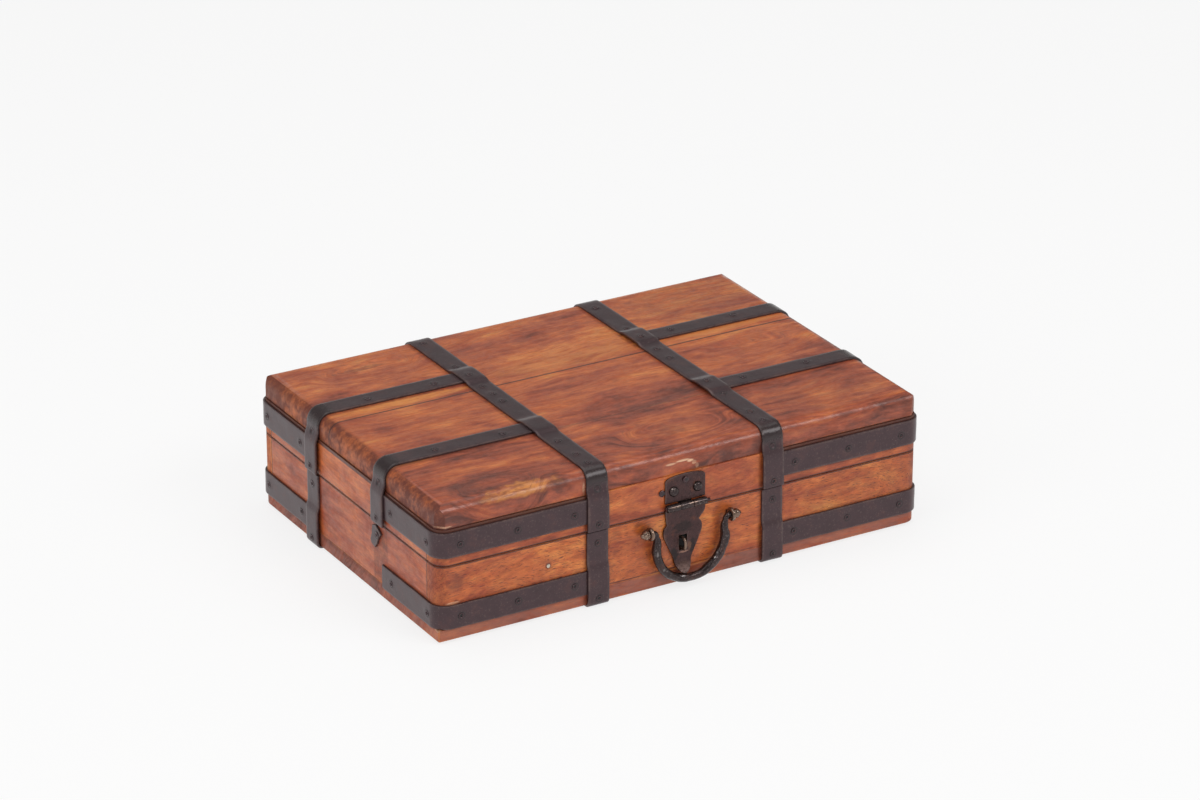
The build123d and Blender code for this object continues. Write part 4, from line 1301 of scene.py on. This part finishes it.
class DITTYBOX_OT_handle(IronOperator, bpy.types.Operator):
    """Forges the drop handle with its pointed ends, and the two eyes that carry it"""

    bl_idname = "dittybox.handle"
    bl_label = "Drop Handle"

    def execute(self, context):
        shades = context.scene.ditty_box_colours
        centre, y = (BAIL_LOW.x + BAIL_HIGH.x) / 2, EYE_LOW.y + EYE_OUTER
        # Bright patches along the front of the bow, strongest on its right arc, are painted highlights.
        painted_highlight = paint(214, 208, 205)
        black = iron_finish(
            "forged_black_iron", tuple(shades.hammered_iron), gloss=0.16, metallic=0.85, rust=0.15, scale=1.3,
            glints=0.5, pits=0.35, fleck=paint(150, 140, 138), coat=0.1,
            marks=[(painted_highlight, strength, (x, y - 2.2, z), reach, ragged) for strength, x, z, reach, ragged in (
                (0.75, 23.0, 29.3, (0.8, 1.8, 2.8), 1.0),
                (0.45, 22.3, 24.8, (0.7, 1.8, 2.2), 1.2),
                (0.75, 20.0, 19.6, (1.0, 1.8, 1.7), 1.0),
                (0.55, 17.6, 16.5, (1.2, 1.8, 1.2), 1.1),
                (0.40, 14.4, 14.0, (1.8, 1.8, 0.8), 1.2),
                (0.25, 9.2, 11.6, (2.2, 1.8, 0.7), 1.3),
                (0.15, -4.8, 8.6, (1.6, 1.8, 0.7), 1.3),
                (0.15, -19.4, 16.4, (1.0, 1.8, 1.2), 1.3),
                (0.20, -24.0, 28.0, (0.7, 1.8, 2.4), 1.3),
            )])
        half, collar, axis = self.half_line()
        line = [(-u, v, size) for u, v, size in half[:0:-1]] + half
        bail = Shell()
        route = [Vector((centre + u, y, v)) for u, v, _ in line]
        forged_rod(bail, route, [size for _, _, size in line], self.sizes().rod_sides, 0.30)
        make_piece("bail_handle_iron", bail, "handle", black, ["bail_handle"])

        brown = iron_finish(
            "bronzed_iron", tuple(shades.bronzed), gloss=0.16, metallic=0.85, rust=0.3, scale=0.9, glints=0.5,
            pits=0.25, fleck=paint(190, 172, 158), coat=0.1)
        points = Shell()
        for sign in (-1, 1):
            turned_shape(points, (centre + sign * collar, y, axis), (sign, 0, 0), [
                (1.0, -0.3), (2.5, -0.25), (2.75, 0.15), (2.45, 0.6), (2.5, 0.9), (3.15, 1.5), (3.2, 2.1),
                (2.75, 3.0), (1.95, 4.1), (1.15, 5.0), (0.6, 5.45), (0.15, HANDLE_POINT)], uneven=0.06)
        make_piece("bail_handle_points", points, "handle", brown)
        for side in ("left", "right"):
            self.forge_eye(f"handle_eye_{side}", y, axis, brown)
        return {"FINISHED"}

    def half_line(self):
        """Line and radii of the handle's right half, where its point begins, and the height of its axis."""
        sizes = self.sizes()
        radius, thick, neck = sizes.bow_radius / MM, sizes.bow_rod / MM / 2, sizes.neck_rod / MM / 2
        axis = (EYE_LOW.z + EYE_HIGH.z) / 2
        bow_z = BAIL_LOW.z + thick + radius
        collar = (BAIL_HIGH.x - BAIL_LOW.x) / 2 - HANDLE_POINT
        bow_steps, steps, turn = 24, 8, 3.0
        half = []
        for k in range(bow_steps + 1):
            angle, size = radians(-90 + 90 * k / bow_steps), thick * (1.0 + 0.10 * k / bow_steps)
            half.append((radius * cos(angle), bow_z + radius * sin(angle), size))
        rise, shoulder = axis - turn - bow_z, thick * 1.10
        for k in range(1, steps + 1):
            share = k / steps
            size = shoulder + (neck - shoulder) * share ** 1.5
            half.append((radius - 0.6 * sin(pi * share), bow_z + rise * share, size))
        for k in range(1, steps + 1):
            angle = radians(180 - 90 * k / steps)
            half.append((radius + turn + turn * cos(angle), axis - turn + turn * sin(angle), neck))
        half += [(radius + turn + (collar - radius - turn) * share, axis, neck) for share in (0.5, 0.97)]
        half += [(collar + 0.6, axis, neck), (collar + 0.8, axis, neck * 0.3)]
        return half, collar, axis

    def forge_eye(self, node, y, axis, finish):
        """Eye, and the spike that holds it in the front wall."""
        low, high = span(node)
        x = (low.x + high.x) / 2
        inner, count = 2.15, 28
        section = [(inner, -0.75), (2.35, -1.0), (3.3, -1.15), (4.2, -0.95), (4.45, -0.4), (4.45, 0.4),
                   (4.2, 0.95), (3.3, 1.15), (2.35, 1.0), (inner, 0.75)]
        rings = []
        for k in range(count):
            angle = 2 * pi * k / count
            spoke = Vector((0, cos(angle), sin(angle)))
            ring = []
            for out, along in section:
                point = Vector((x + along, y, axis)) + spoke * out
                if out > inner + 0.35:
                    point += spoke * hammered(point, 0.12, 4.0)
                ring.append(point)
            rings.append(ring)
        eye = Shell()
        eye.loft(rings, loop=True)
        spike = [(1.15, y + 4.0), (1.1, -HALF_Y), (0.5, high.y)]
        turned_shape(eye, (x, 0, axis), (0, 1, 0), spike, 8)
        make_piece(f"{node}_iron", eye, "base", finish, [node])


# ---------------------------------------------------------------- boards


def board_looks(shades):
    """Each board's own tone, seed, pores, figure, knots and marks."""
    pale, dark, stain = tuple(shades.gold), tuple(shades.umber), tuple(shades.rust)
    scuff = paint(222, 176, 140)
    return {
        "top_board_front": dict(
            tone=0.34, seed=3.1, pores=0.25, end_stain=0.85,
            knots=[
                ((10.0, -92.0, 91.0), (40.0, 18.0, 30.0), 20.0),
                ((-128.0, -112.0, 88.0), (30.0, 16.0, 20.0), 16.0),
            ],
            marks=[
                (pale, 0.80, (-116.0, -117.0, 89.0), (25.0, 9.0, 3.6), 1.7),
                (dark, 0.65, (-146.0, -102.0, 91.0), (13.0, 8.0, 9.0), 1.3),
                (dark, 0.60, (-89.0, -119.0, 84.0), (3.0, 4.0, 3.0), 0.6),
                (dark, 0.65, (-42.0, -119.0, 87.0), (7.0, 5.0, 2.4), 0.9),
                (dark, 0.35, (8.0, -90.0, 91.5), (10.0, 7.0, 6.0), 0.9),
                (dark, 0.20, (124.0, -84.0, 91.5), (50.0, 34.0, 9.0), 0.7),
                (scuff, 1.2, (-1.0, -119.5, 84.0), (5.5, 4.0, 0.8), 0.4),
                (scuff, 0.7, (-9.5, -119.5, 83.2), (4.6, 4.0, 0.9), 1.4),
                (scuff, 1.2, (4.4, -119.5, 82.9), (2.6, 4.0, 1.1), 0.4),
                (scuff, 1.1, (7.2, -119.5, 81.0), (1.8, 4.0, 1.5), 0.4),
                (scuff, 0.9, (9.3, -119.5, 78.6), (1.3, 4.0, 1.9), 0.8),
                (scuff, 0.5, (-72.0, -119.0, 81.0), (1.2, 3.0, 4.5), 1.0),
                (scuff, 0.5, (-170.0, -118.0, 77.6), (6.0, 6.0, 0.6), 1.5),
                (dark, 0.22, (60.0, -118.5, 87.0), (300.0, 4.0, 4.0), 0.9),
            ],
        ),
        "top_board_middle": dict(
            tone=0.44, seed=9.4, pores=0.3, end_stain=0.85, figure=0.8,
            knots=[((118.0, -8.0, 91.0), (46.0, 20.0, 30.0), 12.0)],
            marks=[(dark, 0.40, (20.0, -49.0, 91.5), (48.0, 4.0, 6.0), 1.2)],
        ),
        "top_board_back": dict(
            tone=0.53, seed=21.7, pores=0.35, end_stain=0.85, figure=0.8,
            knots=[((-112.0, 84.0, 91.0), (40.0, 16.0, 30.0), 14.0)],
            marks=[
                (dark, 0.50, (-120.0, 92.0, 91.5), (22.0, 2.6, 6.0), 1.2),
                (pale, 0.85, (-118.0, 32.5, 91.5), (50.0, 4.6, 6.0), 0.5),
                (dark, 0.28, (128.0, 84.0, 91.5), (50.0, 36.0, 9.0), 0.7),
                (pale, 0.40, (10.0, 40.0, 91.5), (60.0, 13.0, 6.0), 0.9),
                (pale, 0.50, (120.0, 33.0, 91.5), (50.0, 4.0, 6.0), 0.5),
            ],
        ),
        "lid_front_wall": dict(tone=0.47, seed=31.0, pores=0.5, figure=0.9),
        "lid_back_wall": dict(tone=0.50, seed=37.0, pores=0.5, figure=0.8),
        "lid_left_wall": dict(tone=0.52, seed=41.0, pores=0.25, figure=0.45),
        "lid_right_wall": dict(tone=0.52, seed=43.0, pores=0.25, figure=0.45),
        "base_front_wall": dict(
            tone=0.60, seed=51.0, pores=0.85, figure=1.0,
            marks=[
                (scuff, 0.7, (-165.0, -120.0, 26.0), (5.0, 4.0, 1.1), 0.8),
                (dark, 0.55, (-163.0, -119.0, 39.0), (6.0, 5.0, 7.0), 1.1),
                (dark, 0.70, (-98.0, -120.0, 35.4), (2.4, 2.0, 2.4), 0.5),
                (dark, 0.55, (-31.0, -120.0, 47.0), (7.0, 3.0, 5.0), 0.9),
                (dark, 0.50, (24.0, -120.0, 42.0), (5.0, 3.0, 8.0), 1.0),
                (dark, 0.45, (-50.0, -120.0, 40.0), (4.0, 3.0, 12.0), 0.9),
                (dark, 0.9, (0.0, -120.0, 12.1), (300.0, 4.0, 0.5), 0.3),
                (dark, 0.30, (0.0, -120.0, 5.0), (300.0, 6.0, 7.0), 0.1),
                (dark, 0.25, (128.0, -120.0, 34.0), (52.0, 4.0, 16.0), 0.8),
            ],
            # Black patch on the wall behind the hasp's slot: painted shadow, near black and without lacquer.
            black_patch=[((-0.6, -120.0, 29.8), (7.0, 4.0, 9.0))],
        ),
        "base_back_wall": dict(tone=0.56, seed=57.0, pores=0.7, figure=0.8),
        "base_left_wall": dict(
            tone=0.45, seed=61.0, pores=0.25, figure=0.4,
            marks=[(stain, 0.75, (-175.0, -48.5, 41.0), (4.0, 2.2, 6.0), 0.8)],
        ),
        "base_right_wall": dict(tone=0.48, seed=67.0, pores=0.25, figure=0.45),
        "base_bottom_panel": dict(
            tone=0.34, seed=71.0, pores=0.4, figure=0.7, end_stain=0.0,
            marks=[
                (paint(146, 100, 88), 0.42, (0.0, 0.0, 5.0), (400.0, 300.0, 30.0), 0.3),
                (scuff, 0.75, (-176.0, -118.0, 9.0), (3.2, 3.2, 1.2), 0.5),
                (dark, 0.9, (-175.0, -41.0, 5.0), (2.0, 1.1, 1.1), 0.2),
            ],
        ),
    }


def bottom_board(shell, ease):
    """Board under the box, its corners rounded like the walls' but for the one below the front left band."""
    steps = 8
    turns = [(ease * (1 - sin(turn)), ease * (1 - cos(turn))) for turn in (0, pi / 6, pi / 3, pi / 2)]
    levels = [(inset, PANEL_LOW.z + rise, SAWN_CORNER) for inset, rise in turns]
    levels += [(0, BASE_BAND_LOW.z - 0.3, SAWN_CORNER), (0, BASE_BAND_LOW.z, WALL_CORNER)]
    levels += [(inset, PANEL_HIGH.z - rise, WALL_CORNER) for inset, rise in reversed(turns)]
    rings = []
    for inset, z, front_left in levels:
        ring = []
        for quarter, (sx, sy) in enumerate(((1, 1), (-1, 1), (-1, -1), (1, -1))):
            radius = front_left if (sx, sy) == (-1, -1) else WALL_CORNER
            for step in range(steps + 1):
                turn = pi / 2 * (quarter + step / steps)
                x = sx * (PANEL_HIGH.x - radius) + (radius - inset) * cos(turn)
                y = sy * (-PANEL_LOW.y - radius) + (radius - inset) * sin(turn)
                ring.append(Vector((x, y, z)))
        rings.append(ring)
    shell.loft(rings)


class DITTYBOX_OT_boards(bpy.types.Operator):
    """Eases the edges of the boards and lacquers each in its own grain"""

    bl_idname = "dittybox.boards"
    bl_label = "Boards"
    bl_options = {"REGISTER", "UNDO"}

    def execute(self, context):
        sizes = context.scene.ditty_box_sizes
        for board, looks in board_looks(context.scene.ditty_box_colours).items():
            finish = wood_finish(board, **looks)
            if board == "base_bottom_panel":
                shell = Shell()
                bottom_board(shell, sizes.board_edge / MM)
                piece = make_piece("base_bottom_board", shell, "base", finish, [board])
                even_shading(piece, True)
                continue
            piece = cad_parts[board]
            piece.data.materials.clear()
            piece.data.materials.append(finish)
            piece.modifiers.new("Join facets", "WELD").merge_threshold = JOIN_DISTANCE
            ease = piece.modifiers.new("Sanded edge", "BEVEL")
            ease.width, ease.segments = sizes.board_edge, 2
            ease.limit_method, ease.angle_limit = "ANGLE", radians(40)
            even_shading(piece, False)
        return {"FINISHED"}


# ---------------------------------------------------------------- stage

# Camera's place in metres, its angles, and its lens in millimetres
CAMERA_SPOT = Vector((-1.40593, -2.43851, 1.32723))
CAMERA_AZIMUTH, CAMERA_RISE = radians(-30.1145), radians(23.9131)
CAMERA_LENS = 144.054
SKY_WHITE = (1.0, 0.99, 0.975)
# What the lamps point at, just over the floor
LAMP_AIM = Vector((0, 0, 0.05))


class DITTYBOX_OT_stage(bpy.types.Operator):
    """Sets out the floor, the soft lamps, the sky and the camera"""

    bl_idname = "dittybox.stage"
    bl_label = "Stage"
    bl_options = {"REGISTER", "UNDO"}

    def execute(self, context):
        scene = context.scene
        shades = scene.ditty_box_colours
        scene.view_settings.view_transform = "Standard"
        self.lay_floor(scene, shades)
        self.hang_lamps(scene)
        self.fill_sky(scene)
        self.set_camera(scene)
        return {"FINISHED"}

    def lay_floor(self, scene, shades):
        """Floor that looks plain white to the camera and in reflections, and keeps the box's shadow."""
        mesh = bpy.data.meshes.new("studio_floor")
        work = bmesh.new()
        bmesh.ops.create_grid(work, x_segments=24, y_segments=24, size=9.0)
        work.to_mesh(mesh)
        work.free()
        floor = bpy.data.objects.new("studio_floor", mesh)
        scene.collection.objects.link(floor)
        finish = Finish("studio_floor_paper")
        seen = finish.node("LightPath", output="Is Camera Ray")
        seen = seen.upper(finish.node("LightPath", output="Is Glossy Ray"))
        seen = seen.upper(finish.node("LightPath", output="Is Transmission Ray"))
        paper = finish.node("BsdfDiffuse", inputs={"Color": tuple(shades.floor)})
        glow = finish.node("Emission", inputs={"Color": tuple(shades.floor), "Strength": 1.0})
        mixed = finish.node("MixShader", inputs={0: seen * 0.80, 1: paper, 2: glow})
        finish.node("OutputMaterial", inputs={"Surface": mixed})
        mesh.materials.append(finish.material)

    def hang_lamps(self, scene):
        for name, spot, size, power in (
            ("key_softbox", (1.03, -1.80, 1.86), (2.0, 0.9), 24.0),
            ("low_softbox", (-1.25, -1.95, 0.72), (0.26, 0.2), 4.0),
            ("left_softbox", (-2.0, -0.3, 1.1), (1.4, 1.0), 10.0),
            ("top_softbox", (-0.2, 0.3, 2.4), (3.2, 2.6), 30.0),
        ):
            data = bpy.data.lights.new(name, "AREA")
            data.shape, data.size, data.size_y, data.energy = "RECTANGLE", *size, power
            lamp = bpy.data.objects.new(name, data)
            scene.collection.objects.link(lamp)
            lamp.location = spot
            lamp.rotation_euler = (LAMP_AIM - Vector(spot)).to_track_quat("-Z", "Y").to_euler()

    def fill_sky(self, scene):
        """White paper low down and a dim studio above it."""
        sky = Finish("studio_sky", "worlds")
        rise = sky.node("SeparateXYZ", inputs={0: sky.node("TexCoord", output="Generated")}, output=2)
        low = sky.node("Background", inputs={"Color": SKY_WHITE, "Strength": 0.92})
        high = sky.node("Background", inputs={"Color": SKY_WHITE, "Strength": 0.28})
        mixed = sky.node("MixShader", inputs={0: sky.fade(rise, 0.02, 0.40), 1: low, 2: high})
        sky.node("OutputWorld", inputs={"Surface": mixed})
        scene.world = sky.material

    def set_camera(self, scene):
        data = bpy.data.cameras.new("box_camera")
        data.lens, data.sensor_width, data.clip_end = CAMERA_LENS, 36.0, 50.0
        camera = bpy.data.objects.new("box_camera", data)
        scene.collection.objects.link(camera)
        level = cos(CAMERA_RISE)
        back = Vector((sin(CAMERA_AZIMUTH) * level, -cos(CAMERA_AZIMUTH) * level, sin(CAMERA_RISE)))
        right = Vector((cos(CAMERA_AZIMUTH), sin(CAMERA_AZIMUTH), 0))
        up = back.cross(right)
        turn = Matrix((right, up, back)).transposed().to_4x4()
        camera.matrix_world = Matrix.Translation(CAMERA_SPOT) @ turn
        scene.camera = camera


# ---------------------------------------------------------------- add-on

STEPS = (
    DITTYBOX_OT_stage,
    DITTYBOX_OT_boards,
    DITTYBOX_OT_lid_straps,
    DITTYBOX_OT_cross_straps,
    DITTYBOX_OT_corner_bands,
    DITTYBOX_OT_base_straps,
    DITTYBOX_OT_hinges,
    DITTYBOX_OT_torn_end,
    DITTYBOX_OT_nails,
    DITTYBOX_OT_brad,
    DITTYBOX_OT_hasp,
    DITTYBOX_OT_staple,
    DITTYBOX_OT_handle,
)


class DITTYBOX_PT_panel(bpy.types.Panel):
    """Buttons, sizes and colours of the box"""

    bl_idname = "DITTYBOX_PT_panel"
    bl_label = "Ditty Box"
    bl_space_type = "VIEW_3D"
    bl_region_type = "UI"
    bl_category = "Ditty Box"

    def draw(self, context):
        for step in STEPS:
            self.layout.operator(step.bl_idname)
        for group in (context.scene.ditty_box_sizes, context.scene.ditty_box_colours):
            for name in group.__annotations__:
                self.layout.prop(group, name)


CLASSES = (DittyBoxSizes, DittyBoxColours, *STEPS, DITTYBOX_PT_panel)


def register():
    for item in CLASSES:
        bpy.utils.register_class(item)
    bpy.types.Scene.ditty_box_sizes = PointerProperty(type=DittyBoxSizes)
    bpy.types.Scene.ditty_box_colours = PointerProperty(type=DittyBoxColours)


def unregister():
    del bpy.types.Scene.ditty_box_sizes
    del bpy.types.Scene.ditty_box_colours
    for item in reversed(CLASSES):
        bpy.utils.unregister_class(item)


def main():
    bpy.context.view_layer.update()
    register()
    for step in STEPS:
        group, name = step.bl_idname.split(".")
        getattr(getattr(bpy.ops, group), name)()


if __name__ == "__main__":
    main()
